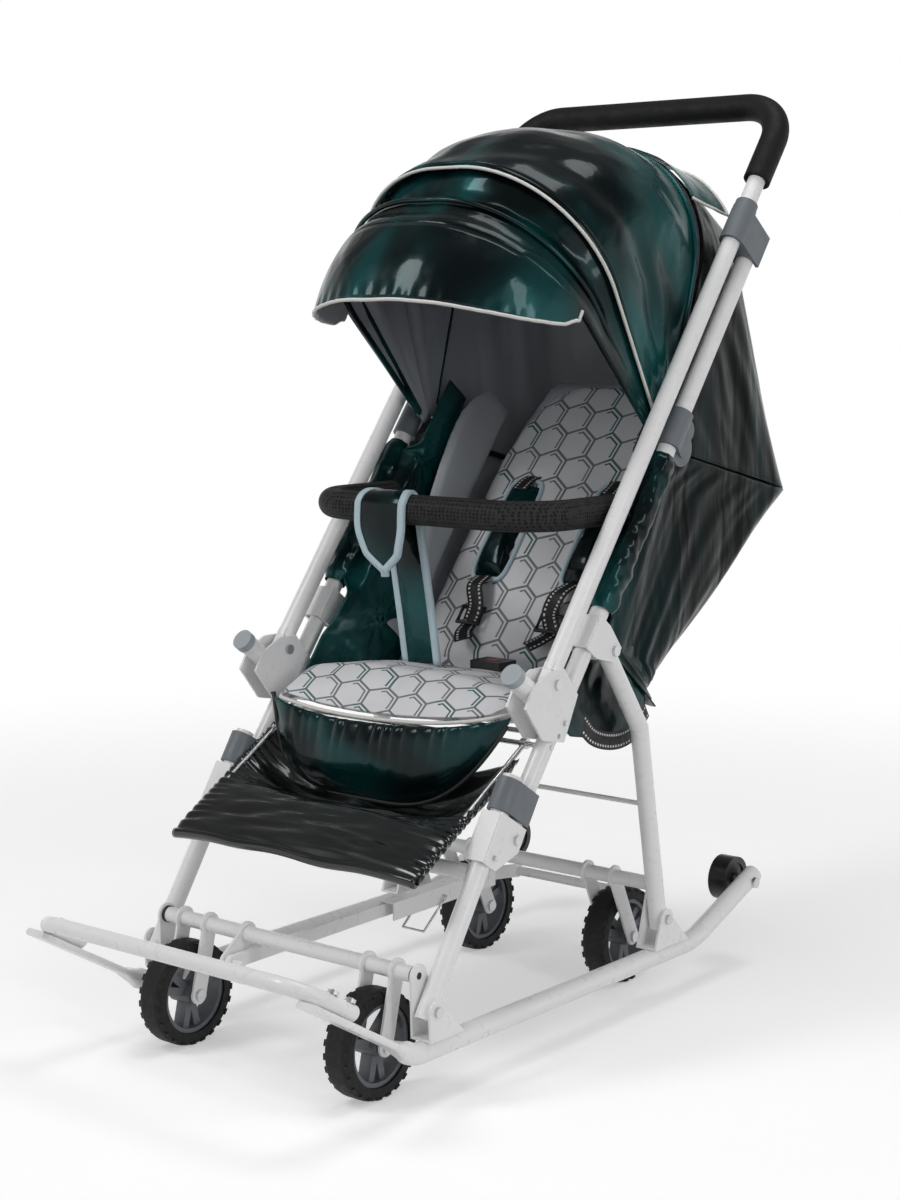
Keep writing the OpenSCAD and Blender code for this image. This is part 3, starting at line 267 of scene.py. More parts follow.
def lacquer(name, deep, painted_sheen, crease=1.0, stretch=(1, 1, 1), coat=0.2, metal=0.4, shine=0.15):
    """Lacquered cloth with broad random patches of painted shade and painted teal sheen, creases of two
    sizes and a fine weave.
    """
    m, t, b = new_mat(name, painted_sheen, 0.25, Metallic=metal, Coat_Weight=coat, Coat_Roughness=0.06,
                      Specular_IOR_Level=shine)
    shade_and_sheen_patches = grain(t, 4.5, 2, stretch, 0.8)
    # Painted light: broad patches going from a near-black painted shade (deep) to a teal painted sheen
    tint(t, b, ramp(t, shade_and_sheen_patches, 0.40, 0.66), deep, painted_sheen)
    gloss(t, b, grain(t, 18, 2), 0.2, 0.3)
    first = bump(t, b, grain(t, 11, 1.5, stretch, 0.9), 0.30 * crease, 0.016)
    second = bump(t, b, grain(t, 34, 1, stretch, 0.6), 0.14 * crease, 0.005, first)
    bump(t, b, grain(t, 1900, 1), 0.02, 0.0004, second)
    t.links.new(second, b.inputs["Coat Normal"])
    return m


def satin():
    m, t, b = new_mat("satin_lining", (0.27, 0.29, 0.315), 0.42, Sheen_Weight=0.25, Sheen_Roughness=0.4)
    tint(t, b, grain(t, 9, 3, (1, 1, 0.5)), (0.34, 0.36, 0.39), (0.46, 0.48, 0.51))
    gloss(t, b, grain(t, 40), 0.36, 0.5)
    first = bump(t, b, grain(t, 26, 2, (1, 1, 0.4), 0.5), 0.25, 0.006)
    bump(t, b, grain(t, 2600, 1), 0.12, 0.0004, first)
    return m


# The honeycomb print
CELL = 0.046  # a cell's width in metres
MAIN_LINE = (0.030, 0.044)  # a line's half width in cells, and where its soft edge ends
INNER_LINE = (0.022, 0.034)
INNER_AT = 0.125  # the inner line's distance from the cell's edge
TALL = math.sqrt(3)  # the grid's height for a width of one


def honeycomb(t, at):
    """Strokes of a honeycomb at the points at, with doubled lines in some cells: mask and teal share."""
    p = vcalc(t, "SCALE", at)
    p.node.inputs["Scale"].default_value = 1 / CELL
    step = (1.0, TALL, 1.0)
    half = (0.5, TALL / 2, 0.5)

    def near(shift):
        q = vcalc(t, "SUBTRACT", p, shift)
        whole = vcalc(t, "MULTIPLY", vcalc(t, "FLOOR", vcalc(t, "DIVIDE", q, step)), step)
        return vcalc(t, "MULTIPLY", vcalc(t, "SUBTRACT", vcalc(t, "SUBTRACT", q, whole), half), (1, 1, 0))

    a, b = near((0, 0, 0)), near(half)
    pick = calc(t, "LESS_THAN", vcalc(t, "DOT_PRODUCT", a, a, 1), vcalc(t, "DOT_PRODUCT", b, b, 1))
    n = t.nodes.new("ShaderNodeMix")
    n.data_type = "VECTOR"
    for socket, v in ((n.inputs[0], pick), (n.inputs[4], b), (n.inputs[5], a)):
        t.links.new(v, socket)
    g = n.outputs[1]
    side = vcalc(t, "ABSOLUTE", g)
    slant = vcalc(t, "DOT_PRODUCT", side, (0.5, TALL / 2, 0), 1)
    upright = vcalc(t, "DOT_PRODUCT", side, (1, 0, 0), 1)
    edge = calc(t, "SUBTRACT", 0.5, calc(t, "MAXIMUM", slant, upright))
    main = ramp(t, edge, *MAIN_LINE, 1, 0)
    rand = t.nodes.new("ShaderNodeTexWhiteNoise")
    rand.noise_dimensions = "3D"
    centre = vcalc(t, "SUBTRACT", p, g)
    snap = vcalc(t, "SNAP", vcalc(t, "ADD", centre, (0.01, 0.01, 0)), (0.25, 0.25, 1))
    t.links.new(snap, rand.inputs["Vector"])
    sign = vcalc(t, "DOT_PRODUCT", g, (0.78, 0.62, 0), 1)
    off = calc(t, "ABSOLUTE", calc(t, "SUBTRACT", edge, INNER_AT))
    inner = calc(t, "MULTIPLY", ramp(t, off, *INNER_LINE, 1, 0), calc(t, "GREATER_THAN", sign, 0.12))
    chosen = calc(t, "GREATER_THAN", rand.outputs["Value"], 0.74)
    teal = calc(t, "MULTIPLY", chosen, calc(t, "GREATER_THAN", sign, 0.1))
    return calc(t, "MAXIMUM", main, inner), teal


def printed():
    """Printed cloth inside the signed outline in attribute print_at's third part, grey satin outside it."""
    m, t, b = new_mat("printed_cloth", (0.74, 0.74, 0.76), 0.5, Sheen_Weight=0.1)
    at = attribute(t, "print_at")
    turn = t.nodes.new("ShaderNodeVectorRotate")
    turn.rotation_type = "Z_AXIS"
    turn.inputs["Angle"].default_value = 0.12
    t.links.new(vcalc(t, "MULTIPLY", at, (1, 1, 0)), turn.inputs["Vector"])
    mask, teal = honeycomb(t, turn.outputs[0])
    ink = mix(t, teal, (0.165, 0.172, 0.18), (0.012, 0.105, 0.10))
    base = mix(t, grain(t, 14), (0.70, 0.70, 0.73), (0.78, 0.78, 0.80))
    cloth = mix(t, mask, base, ink)
    inside = ramp(t, split(t, at)[2], -0.0012, 0.0012)
    lining = mix(t, grain(t, 9, 3), (0.36, 0.38, 0.41), (0.46, 0.48, 0.51))
    tint(t, b, inside, lining, cloth)
    gloss(t, b, grain(t, 50), 0.42, 0.58)
    first = bump(t, b, grain(t, 30, 2), 0.12, 0.004)
    bump(t, b, grain(t, 2400, 1), 0.15, 0.0004, first)
    return m


# The webbing
STITCH_AT = 0.30  # two rows of pale stitches, as a share of the width from the middle
STITCH_STEP = 0.0026  # in metres, like the ribs
RIB_STEP = 0.0007


def webbing():
    m, t, b = new_mat("webbing", (0.008, 0.008, 0.009), 0.6)
    across, along, _ = split(t, attribute(t, "strap_at"))
    off = calc(t, "ABSOLUTE", calc(t, "SUBTRACT", calc(t, "ABSOLUTE", across), STITCH_AT))
    row = ramp(t, off, 0.045, 0.075, 1, 0)
    beat = calc(t, "PINGPONG", along, STITCH_STEP)
    dots = calc(t, "MULTIPLY", row, ramp(t, beat, 0.0011, 0.0015, 0, 1))
    tint(t, b, dots, (0.008, 0.008, 0.009), (0.72, 0.72, 0.70))
    gloss(t, b, grain(t, 60), 0.5, 0.7)
    ribs = calc(t, "PINGPONG", along, RIB_STEP)
    bump(t, b, calc(t, "ADD", calc(t, "MULTIPLY", ribs, 600), dots), 0.4, 0.0006)
    return m


STEEL = steel()
KNIT = knit()
# Each lacquer's two colours are a painted shade and a painted teal sheen, mixed in broad patches
LACQUER = lacquer("lacquer_cloth", (0.0012, 0.006, 0.007), (0.005, 0.078, 0.08))
LACQUER_LONG = lacquer("lacquer_long", (0.0006, 0.0014, 0.0017), (0.002, 0.024, 0.0255),
                       stretch=(2.2, 1.6, 0.3), coat=0.05, metal=0.35, shine=0.08)
LACQUER_BLACK = lacquer("lacquer_black", (0.002, 0.0022, 0.0025), (0.006, 0.009, 0.0095), crease=1.3,
                        stretch=(0.4, 1.8, 1), coat=0.7, shine=0.5)
SATIN = satin()
PRINT = printed()
WEBBING = webbing()


# Mesh helpers
def build(name, verts, faces, mats, smooth_faces=True):
    me = bpy.data.meshes.new(name)
    me.from_pydata([tuple(v) for v in verts], [], faces)
    me.update()
    ob = bpy.data.objects.new(name, me)
    scene.collection.objects.link(ob)
    for m in mats:
        me.materials.append(m)
    if smooth_faces:
        me.shade_smooth()
    return ob


def bake(ob):
    """The object with its modifiers made part of its mesh."""
    bpy.context.view_layer.update()
    got = bpy.data.meshes.new_from_object(ob.evaluated_get(bpy.context.evaluated_depsgraph_get()))
    old = ob.data
    name = old.name
    ob.modifiers.clear()
    ob.data = got
    bpy.data.meshes.remove(old)
    got.name = name
    return ob


def surface(name, f, nu, nv, mats, thick, flip=False, around=False):
    """A sheet over f(u, v), given thickness away from its outer side, with the lining on its inner side."""
    row = nu if around else nu + 1
    verts = [P(*f(i / nu, j / nv)) for j in range(nv + 1) for i in range(row)]
    faces = []
    for j in range(nv):
        for i in range(nu):
            k = (i + 1) % row
            q = (j * row + i, j * row + k, (j + 1) * row + k, (j + 1) * row + i)
            faces.append(q[::-1] if flip else q)
    ob = build(name, verts, faces, mats)
    if thick:
        s = ob.modifiers.new("thick", "SOLIDIFY")
        s.thickness = thick * MM
        s.offset = -1
        s.use_even_offset = False
        s.material_offset = len(mats) - 1
        s.material_offset_rim = 0
        bake(ob)
    return ob


def edge_points(f, n, ends=8):
    """Points in metres down one end of the sheet f, along its far edge and up the other end."""
    down = [P(*f(0.0, k / ends)) for k in range(ends)]
    along = [P(*f(i / n, 1)) for i in range(n + 1)]
    up = [P(*f(1.0, 1 - k / ends)) for k in range(1, ends + 1)]
    return down + along + up


def tube(name, pts, r, mat, n=8, closed=False):
    """A round tube of radius r in mm along points in metres."""
    count = len(pts)
    verts, faces = [], []
    normal = None
    for i, p in enumerate(pts):
        a = pts[(i - 1) % count] if closed or i else pts[0]
        b = pts[(i + 1) % count] if closed or i < count - 1 else pts[-1]
        d = (b - a).normalized()
        if normal is None:
            normal = d.orthogonal().normalized()
        normal = (normal - d * normal.dot(d)).normalized()
        side = d.cross(normal)
        for k in range(n):
            w = 2 * math.pi * k / n
            verts.append(p + (normal * math.cos(w) + side * math.sin(w)) * r * MM)
    for i in range(count if closed else count - 1):
        j = (i + 1) % count
        for k in range(n):
            faces.append((i * n + k, i * n + (k + 1) % n, j * n + (k + 1) % n, j * n + k))
    if not closed:
        faces.append(tuple(range(n))[::-1])
        faces.append(tuple(range((count - 1) * n, count * n)))
    return build(name, verts, faces, [mat])


def run_at(line, i):
    """The direction of a line of points at its point i."""
    return (line[min(i + 1, len(line) - 1)] - line[max(i - 1, 0)]).normalized()


# A strap's section with softened edges, in shares of its width and thickness
RIBBON = ((-0.5, 0.25), (-0.47, 0.5), (0.0, 0.5), (0.47, 0.5), (0.5, 0.25),
          (0.5, -0.25), (0.47, -0.5), (0.0, -0.5), (-0.47, -0.5), (-0.5, -0.25))


def ribbon(name, pts, sides, width, thick, mat):
    """A flat strap along points in metres, wide along sides, with its own length and width as strap_at."""
    verts, faces, marks = [], [], []
    count, n, run = len(pts), len(RIBBON), 0.0
    for i, p in enumerate(pts):
        d = run_at(pts, i)
        side = Vector(sides[i] if isinstance(sides, list) else sides)
        side = (side - d * side.dot(d)).normalized()
        up = d.cross(side)
        w = width[i] if isinstance(width, list) else width
        run += (p - pts[i - 1]).length if i else 0.0
        for a, b in RIBBON:
            verts.append(p + side * (a * w * MM) + up * (b * thick * MM))
            marks.append((a, run, b))
    for i in range(count - 1):
        for k in range(n):
            j = (k + 1) % n
            faces.append((i * n + k, i * n + j, (i + 1) * n + j, (i + 1) * n + k))
    faces.append(tuple(range(n))[::-1])
    faces.append(tuple(range((count - 1) * n, count * n)))
    ob = build(name, verts, faces, [mat])
    mark(ob, "strap_at", marks)
    return ob


def spline(through, n):
    """Points in metres on a smooth curve through the given points in mm."""
    p = [Vector(q) for q in through]
    p = [2 * p[0] - p[1], *p, 2 * p[-1] - p[-2]]
    out = []
    for i in range(1, len(p) - 2):
        for k in range(n):
            t = k / n
            a = -p[i - 1] + 3 * p[i] - 3 * p[i + 1] + p[i + 2]
            b = 2 * p[i - 1] - 5 * p[i] + 4 * p[i + 1] - p[i + 2]
            c = p[i + 1] - p[i - 1]
            out.append(P(*(0.5 * (a * t ** 3 + b * t ** 2 + c * t + 2 * p[i]))))
    out.append(P(*p[-2]))
    return out


def points(ob):
    co = np.empty(len(ob.data.vertices) * 3)
    ob.data.vertices.foreach_get("co", co)
    return co.reshape(-1, 3)


def normals(ob):
    no = np.empty(len(ob.data.vertices) * 3)
    ob.data.vertices.foreach_get("normal", no)
    return no.reshape(-1, 3)


def settle(ob, co):
    ob.data.vertices.foreach_set("co", np.asarray(co, float).ravel())
    ob.data.update()


def mark(ob, name, values):
    a = ob.data.attributes.new(name, "FLOAT_VECTOR", "POINT")
    a.data.foreach_set("vector", np.asarray(values, np.float32).ravel())


SWELL_FRAMES = 20


def swell(ob):
    """Blow the object up as a closed bag of cloth."""
    c = ob.modifiers.new("swell", "CLOTH")
    c.settings.use_pressure = True
    c.settings.uniform_pressure_force = 4.0
    c.settings.quality = 4
    c.settings.mass = 0.3
    c.settings.tension_stiffness = 12
    c.settings.compression_stiffness = 12
    c.settings.bending_stiffness = 0.4
    c.settings.effector_weights.gravity = 0
    c.point_cache.frame_start = 1
    c.point_cache.frame_end = SWELL_FRAMES
    for f in range(1, SWELL_FRAMES + 1):
        scene.frame_set(f)
        bpy.context.view_layer.update()
    bake(ob)
    scene.frame_set(1)


def puff(name, node, mat, cap, voxel=5.0, shrink=2.0):
    """The soft CAD solid of a node, drawn in by shrink and swelled as stuffed cloth by at most cap."""
    me = NODES[node].data.copy()
    me.name = name
    ob = bpy.data.objects.new(name, me)
    scene.collection.objects.link(ob)
    me.materials.clear()
    me.materials.append(mat)
    even = ob.modifiers.new("even", "REMESH")
    even.mode = "VOXEL"
    even.voxel_size = voxel * MM
    bake(ob)
    start = points(ob) - normals(ob) * shrink * MM
    settle(ob, start)
    swell(ob)
    move = points(ob) - start
    far = np.linalg.norm(move, axis=1, keepdims=True)
    settle(ob, start + move * np.minimum(1, cap * MM / np.maximum(far, 1e-9)))
    fine = ob.modifiers.new("fine", "SUBSURF")
    fine.levels = 1
    fine.render_levels = 1
    bake(ob)
    ob.data.shade_smooth()
    return ob


def dress(ob, body):
    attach(ob, body)
    return ob


# Hard parts keep their solids and take a finish
FINISH = {
    WHITE: ["runner_left", "runner_right", "front_crossbar", "front_brackets", "rear_brackets", "rear_axle",
            "rear_forks", "pedal", "front_axle", "front_forks", "link_channel", "link_bar", "lower_legs",
            "knee_brackets", "side_tubes", "seat_brackets", "rear_hinge_brackets", "handle_tube",
            "rear_legs"],
    GREY: ["knee_sleeves", "hood_clamps", "top_collars"],
    RIM: ["rim_fl", "rim_fr", "rim_rl", "rim_rr"],
    CAP: ["tube_caps"],
    DARK: ["axle_bushes", "tail_wheel_left", "tail_wheel_right", "buckle", "hood_bow"],
    RUBBER: ["tyre_fl", "tyre_fr", "tyre_rl", "tyre_rr"],
    GRIP: ["handle_grip"],
    KNIT: ["bumper_bar"],
    RED: ["buckle_button"],
    STEEL: ["base_screws", "rear_wheel_pins", "front_wheel_pins", "knee_screws", "upper_screws",
            "lock_bail", "seat_rods", "footrest_wire", "recline_rod"],
}
for material, names in FINISH.items():
    for node_name in names:
        NODES[node_name].data.materials.clear()
        NODES[node_name].data.materials.append(material)


# Tread lugs on both shoulders of each tyre
LUGS = 24
LUG_X = (3.0, 16.5)
LUG_R = (56.5, 60.9)
LUG_HALF = 0.062  # half a lug's length round the tyre, in radians
LUG_SLANT = 0.05
LUG_FALL = 1.6  # how far its outer corners fall
LUG_CORNERS = [(r, x, k) for r in LUG_R for x in LUG_X for k in (-1, 1)]
LUG_FACES = ((0, 1, 3, 2), (4, 6, 7, 5), (0, 4, 5, 1), (2, 3, 7, 6), (0, 2, 6, 4), (1, 5, 7, 3))


def tread(wheel):
    low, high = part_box(f"tyre_{wheel}")
    mid = (low + high) / 2
    verts, faces = [], []
    for i in range(LUGS):
        for s in (-1, 1):
            base = len(verts)
            for r, x, k in LUG_CORNERS:
                a = 2 * math.pi * (i + 0.25 * (s + 1)) / LUGS + k * LUG_HALF + LUG_SLANT * x / LUG_X[1]
                fall = LUG_FALL if (r, x) == (LUG_R[1], LUG_X[1]) else 0
                rad = (r - fall) * MM
                verts.append(mid + Vector((s * x * MM, rad * math.cos(a), rad * math.sin(a))))
            for f in LUG_FACES:
                faces.append(tuple(base + j for j in (f if s > 0 else f[::-1])))
    lugs = build(f"tread_{wheel}", verts, faces, [RUBBER], smooth_faces=False)
    dress(lugs, f"wheel_{wheel}")


for wheel in ("fl", "fr", "rl", "rr"):
    tread(wheel)


# The hood: each section's half width, radius and corner, the walls' inner end, and the angles in degrees
MIDDLE = (182.5, 380.0, 165.0)
VISOR = (179.0, 376.5, 161.5)
REAR = (186.0, 383.5, 165.0)
BOW = (186.0, 330.0, 60.0)
HOOD_IN = 26.0
MID_A = (74.0, 120.0)
VIS_A = (108.0, 136.0)
REAR_A = 72.5
RIDGE_A = 50.0
FLAP_A = (73.0, 61.0)
# The ridge as a share of the rear panel's length, and the ends of the brim and the flap round the section
RIDGE_V = 0.3
BRIM_FROM = 0.225
FLAP_FROM = 0.31


def section(u, shape):
    """A hood section by length: from one wall over the roof to the other, with its outward direction."""
    w, r, c = shape
    wall, arc, roof = r - c - HOOD_IN, c * math.pi / 2, w - c
    d = (1 - abs(2 * u - 1)) * (wall + arc + roof)
    s = -1 if u < 0.5 else 1
    if d < wall:
        return s * w, HOOD_IN + d, s, 0.0
    if d < wall + arc:
        a = (d - wall) / c
        return s * (w - c + c * math.cos(a)), r - c + c * math.sin(a), s * math.cos(a), math.sin(a)
    return s * (w - c - (d - wall - arc)), r, 0.0, 1.0


def hooped(u, angle, shape, out):
    """A place on a section turned to an angle about the hood's pivot, moved outwards by out."""
    x, rad, nx, nr = section(u, shape)
    a = math.radians(angle)
    rad += out * nr
    return (x + out * nx, HOOD[0] + rad * math.cos(a), HOOD[1] + rad * math.sin(a))


def crown(u):
    """Nought low on the walls, one over the roof."""
    return smooth(0.10, 0.36, u) * smooth(0.10, 0.36, 1 - u)


def mid_at(u, v):
    inward = 1 - abs(2 * u - 1)
    folds = 5.0 * wave(u * 9 + 2.4 * v, v * 2.2, 3.1) + 3.2 * wave(u * 24 - 5 * v, v * 3 + u * 6, 8.4)
    swelling = 6 * math.sin(math.pi * v) * (0.35 + 0.65 * crown(u))
    tuck = -6 * bell(v - 0.12 - 0.9 * abs(u - 0.5), 0.08) * smooth(0.12, 0.3, inward)
    out = (swelling + (folds + tuck) * math.sin(math.pi * v) ** 0.6) * smooth(0.0, 0.25, inward)
    return hooped(u, lerp(MID_A[1], MID_A[0], v), MIDDLE, out)


def visor_at(u, v):
    folds = 3.0 * wave(u * 11 - v, v * 1.8, 5.3) + 1.6 * wave(u * 26, v * 5, 1.1)
    dip = -(22 * bell(v - 0.42, 0.15) + 7 * bell(v - 0.16, 0.05)) * crown(u)
    out = (dip + folds * math.sin(math.pi * v) ** 0.6) * smooth(0.0, 0.25, 1 - abs(2 * u - 1))
    return hooped(u, lerp(VIS_A[1], VIS_A[0], v), VISOR, out)


def brim_at(u, v):
    """The stiff brim: from the visor's front hoop down to a level lower edge with rounded ends."""
    k = lerp(BRIM_FROM, 1 - BRIM_FROM, u)
    x, y, z = hooped(k, VIS_A[1] - 0.5, VISOR, 0.5)
    e = abs(2 * u - 1)
    drop = lerp(88, 16, e ** 2.4) * (1 - 0.3 * smooth(0.93, 1.0, e))
    puffed = 7 * math.sin(math.pi * v) * (1 - e ** 4) + 1.2 * wave(u * 14, v * 3, 2.2) * v
    ripple = math.sin(u * 150) * smooth(0.75, 0.95, v)
    return (x, y - v * drop * 0.62 - puffed * 0.8 - ripple, z - v * drop + puffed * 0.5)


def rear_at(u, v):
    """From the middle panel's rear hoop round to the ridge, then straight down to the bow."""
    a = section(u, REAR)
    b = section(u, BOW)
    turn = math.radians(lerp(REAR_A, RIDGE_A, min(1, v / RIDGE_V)))
    f = max(0, v - RIDGE_V) / (1 - RIDGE_V)
    x, rad_x, rad_r = lerp(a[0], b[0], f), lerp(a[2], b[2], f), lerp(a[3], b[3], f)
    y = lerp(HOOD[0] + a[1] * math.cos(turn), HOOD[0] + b[1] * math.cos(-BOW_ANGLE), f)
    z = lerp(HOOD[1] + a[1] * math.sin(turn), HOOD[1] + b[1] * math.sin(-BOW_ANGLE), f)
    tilt = lerp(turn, -BOW_ANGLE, f)
    folds = 5 * wave(u * 20, v * 1.3, 6.6) + 2.5 * wave(u * 44 + v * 3, v * 2.5, 2.8)
    out = smooth(0.05, 0.3, 1 - abs(2 * u - 1)) * (folds - 4) * math.sin(math.pi * v) ** 0.7
    return (x + out * rad_x, y + out * rad_r * math.cos(tilt), z + out * rad_r * math.sin(tilt))


def flap_at(u, v):
    """The flap over the roof behind the hoop, lifted at its rear edge."""
    lift = 4 + 12 * v ** 2 + 1.5 * wave(u * 9, v * 3, 1.4)
    return hooped(lerp(FLAP_FROM, 1 - FLAP_FROM, u), lerp(*FLAP_A, v), REAR, lift)


hood_mid = surface("hood_middle_panel", mid_at, 120, 28, [LACQUER, SATIN], 1.6)
dress(hood_mid, "hood_middle")
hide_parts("hood_mid")
hood_visor = surface("hood_front_panel", visor_at, 120, 20, [LACQUER, SATIN], 1.6)
dress(hood_visor, "visor")
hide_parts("hood_visor")


def hoop_tube(name, angle, shape, out, radius, mat, body, ends=0.02, steps=120):
    """Piping or a seam over one hoop, short of the pivots by ends."""
    pts = [P(*hooped(lerp(ends, 1 - ends, i / steps), angle, shape, out)) for i in range(steps + 1)]
    dress(tube(name, pts, radius, mat), body)


hoop_tube("hood_middle_piping", MID_A[1] + 0.2, MIDDLE, 1.2, 2.1, PIPING, "hood_middle")
hoop_tube("hood_middle_seam", MID_A[1] - 2.0, MIDDLE, 0.2, 2.6, LACQUER, "hood_middle")
hoop_tube("hood_hoop_seam", MID_A[0] + 0.6, MIDDLE, 1.0, 3.2, LACQUER, "hood_middle")
hoop_tube("visor_hoop", VIS_A[1] - 1.0, VISOR, -3.5, 4.0, LACQUER, "visor")
hoop_tube("visor_rib", VIS_A[1] - 7.0, VISOR, -2.5, 3.0, LACQUER, "visor")

brim = surface("brim", brim_at, 110, 16, [LACQUER, SATIN], 2.2, flip=True)
dress(brim, "visor")
dress(tube("brim_piping", edge_points(brim_at, 120), 2.2, PIPING), "visor")

hood_rear = surface("hood_rear_panel", rear_at, 140, 40, [LACQUER_LONG, SATIN], 1.6)
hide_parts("hood_rear")

flap = surface("hood_flap", flap_at, 60, 14, [LACQUER, SATIN], 1.6)
dress(flap, "hood_middle")
dress(tube("hood_flap_piping", edge_points(flap_at, 60), 2.0, PIPING), "hood_middle")


# The rear cover: side walls and rear wall in one sheet
COVER_TOP = (587.0, 604.0)
COVER_LOW = (252.0, 366.0)
COVER_W = 185.0  # half its width
COVER_C = 55.0  # its corners' radius
# The knots of its front edge, and the share of its height at each
COVER_FRONT = ((296.0, 672.0), side_at(315, 20), side_at(106, 56), COVER_LOW)
COVER_CUTS = (0.0, 0.22, 0.86, 1.0)


def cover_at(u, v):
    rear = (lerp(COVER_TOP[0], COVER_LOW[0], v), lerp(COVER_TOP[1], COVER_LOW[1], v))
    front = [np.interp(v, COVER_CUTS, line) for line in zip(*COVER_FRONT)]
    wall = math.hypot(rear[0] - front[0], rear[1] - front[1])
    w, c = COVER_W, min(COVER_C, wall * 0.9)
    parts = [max(wall - c, 1.0), c * math.pi / 2, w - c]
    d = (1 - abs(2 * u - 1)) * sum(parts)
    s = -1 if u < 0.5 else 1
    if d < parts[0]:
        back, x, nb, nx = d, w, 0.0, 1.0
    elif d < parts[0] + parts[1]:
        a = (d - parts[0]) / c
        back, x, nb, nx = wall - c + c * math.sin(a), w - c + c * math.cos(a), math.sin(a), math.cos(a)
    else:
        back, x, nb, nx = wall, w - c - (d - parts[0] - parts[1]), 1.0, 0.0
    far = max(wall, 1.0)
    e = smooth(0.0, 0.12, v) * smooth(0.0, 0.12, 1 - v)
    folds = 5.5 * wave(u * 26, v * 1.2 + u * 2, 4.4) + 2.2 * wave(u * 60, v * 2.4, 9.1)
    out = (folds - 3) * e * smooth(0.0, 0.1, 1 - abs(2 * u - 1))
    y, z = lerp(front[0], rear[0], back / far), lerp(front[1], rear[1], back / far)
    ny, nz = (rear[0] - front[0]) / far, (rear[1] - front[1]) / far
    return (s * (x + out * nx), y + out * nb * ny, z + out * nb * nz)


back_cover = surface("rear_cover", cover_at, 150, 44, [LACQUER_LONG, SATIN], 1.6)
dress(back_cover, "hood_back")
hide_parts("back_cover")


# The seat, whose front rolls down to a lip
ROLL_FROM = 12.0
ROLL_RUN = 66.0
ROLL_FALL = 48.0
SEAT_TOP = 431.0
PRINT_TOP = 432.0
# The lip slopes across, and curls up towards its ends
LIP_Z = 369.0
LIP_SLOPE = 6 / 185
LIP_HALF = 186.0
LIP_CURL = 20.0


def lip_low(x):
    return LIP_Z + LIP_SLOPE * x + LIP_CURL * abs(x / LIP_HALF) ** 2.4


def roll_front(co):
    """The seat's points with its front rolled down to the lip."""
    x, y, z = co[:, 0] / MM, (co[:, 1] + MID) / MM, co[:, 2] / MM
    k = np.clip((ROLL_FROM - y) / ROLL_RUN, 0, 1)
    low = lip_low(x) + 3
    rise = np.clip((z - 378) / 50, 0, 1)
    top = SEAT_TOP - ROLL_FALL * k ** 1.6 * (1 - 0.25 * np.abs(x / 180) ** 2)
    keep = np.clip(k * 4, 0, 1)
    co[:, 2] = (z * (1 - keep) + keep * (low + rise * (top - low))) * MM
    co[:, 1] -= 9 * MM * k * (1 - np.abs(x / 190) ** 3)
    return co


def seat_marks(co):
    """The print runs over the top and on down the front, all of it inside the outline."""
    along = co[:, 1] + MID + np.minimum(0, co[:, 2] - PRINT_TOP * MM)
    return np.stack([co[:, 0], along, np.full(len(co), 0.02)], 1)


def lip_points(co, n=60, half=170):
    """Points in metres along the lip, just before the cushion's own front."""
    out = []
    for i in range(n + 1):
        at = lerp(-half, half, i / n)
        near = (np.abs(co[:, 0] / MM - at) < 6) & (np.abs(co[:, 2] / MM - lip_low(at) - 5) < 6)
        out.append(P(at, (co[near, 1].min() + MID) / MM - 2.2, lip_low(at) + 3))
    return out


seat = puff("seat_pad", "seat_cushion", PRINT, cap=6.0)
seat_co = roll_front(points(seat))
settle(seat, seat_co)
mark(seat, "print_at", seat_marks(seat_co))
dress(seat, "seat")
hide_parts("seat_cushion")
dress(tube("seat_lip_piping", lip_points(seat_co), 2.3, PIPING), "seat")

# The stitched strap that hangs under the seat's rear
seat_strap = spline([(172, 92, 386), (180, 106, 364), (181, 124, 348), (181, 152, 338), (181, 184, 335),
                     (181, 212, 342), (179, 240, 362)], 8)
dress(ribbon("seat_strap", seat_strap, (0, 0.3, 1), 22, 1.8, WEBBING), "seat")


# The gathered apron under the seat front
APRON_X = (-183, 186)
APRON_Y = -53
APRON_HEM = (275, 384)  # its hem's height at the middle and at the ends


def apron_at(u, v):
    e = abs(2 * u - 1)
    x = lerp(*APRON_X, u) * (1 - 0.03 * v * e)
    low = lerp(*APRON_HEM, e ** (9.0 if u < 0.5 else 2.6))
    z = lerp(lip_low(x) - 1.0, low, v)
    gather = abs(math.sin(u * math.pi * 19 + 2.2 * wave(u * 9, 0.3))) ** 0.7 * bell(v, 0.36)
    pleat = 4.5 * gather * (1 - e ** 6) * (0.6 + 0.8 * wave(u * 7, 4.2))
    belly = math.sin(math.pi * min(1, v * 1.02)) ** 0.7 * (1 - e ** 3)
    drape = 5.0 * wave(u * 6 + v, v * 1.3, 7.7) * math.sin(math.pi * v)
    return (x, APRON_Y + 12 * e ** 4 - 15 * belly - pleat - drape, z)


apron = surface("apron", apron_at, 150, 30, [LACQUER, BLACK_CLOTH], 2.0, flip=True)
dress(apron, "upper")
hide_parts("seat_apron")
apron_hem = [P(*apron_at(i / 90, 1.0)) for i in range(91)]
dress(tube("apron_hem", apron_hem, 2.6, BLACK_CLOTH), "upper")


# The footrest sling
WIRE_LOW = (-196.0, 244.0)  # the wire's side, at the front and at the rear
WIRE_HIGH = (-5.0, 358.6)
FOOT_HALF = 187
FOOT_Y = (-203, -26)
FOOT_Z = (263, 367)


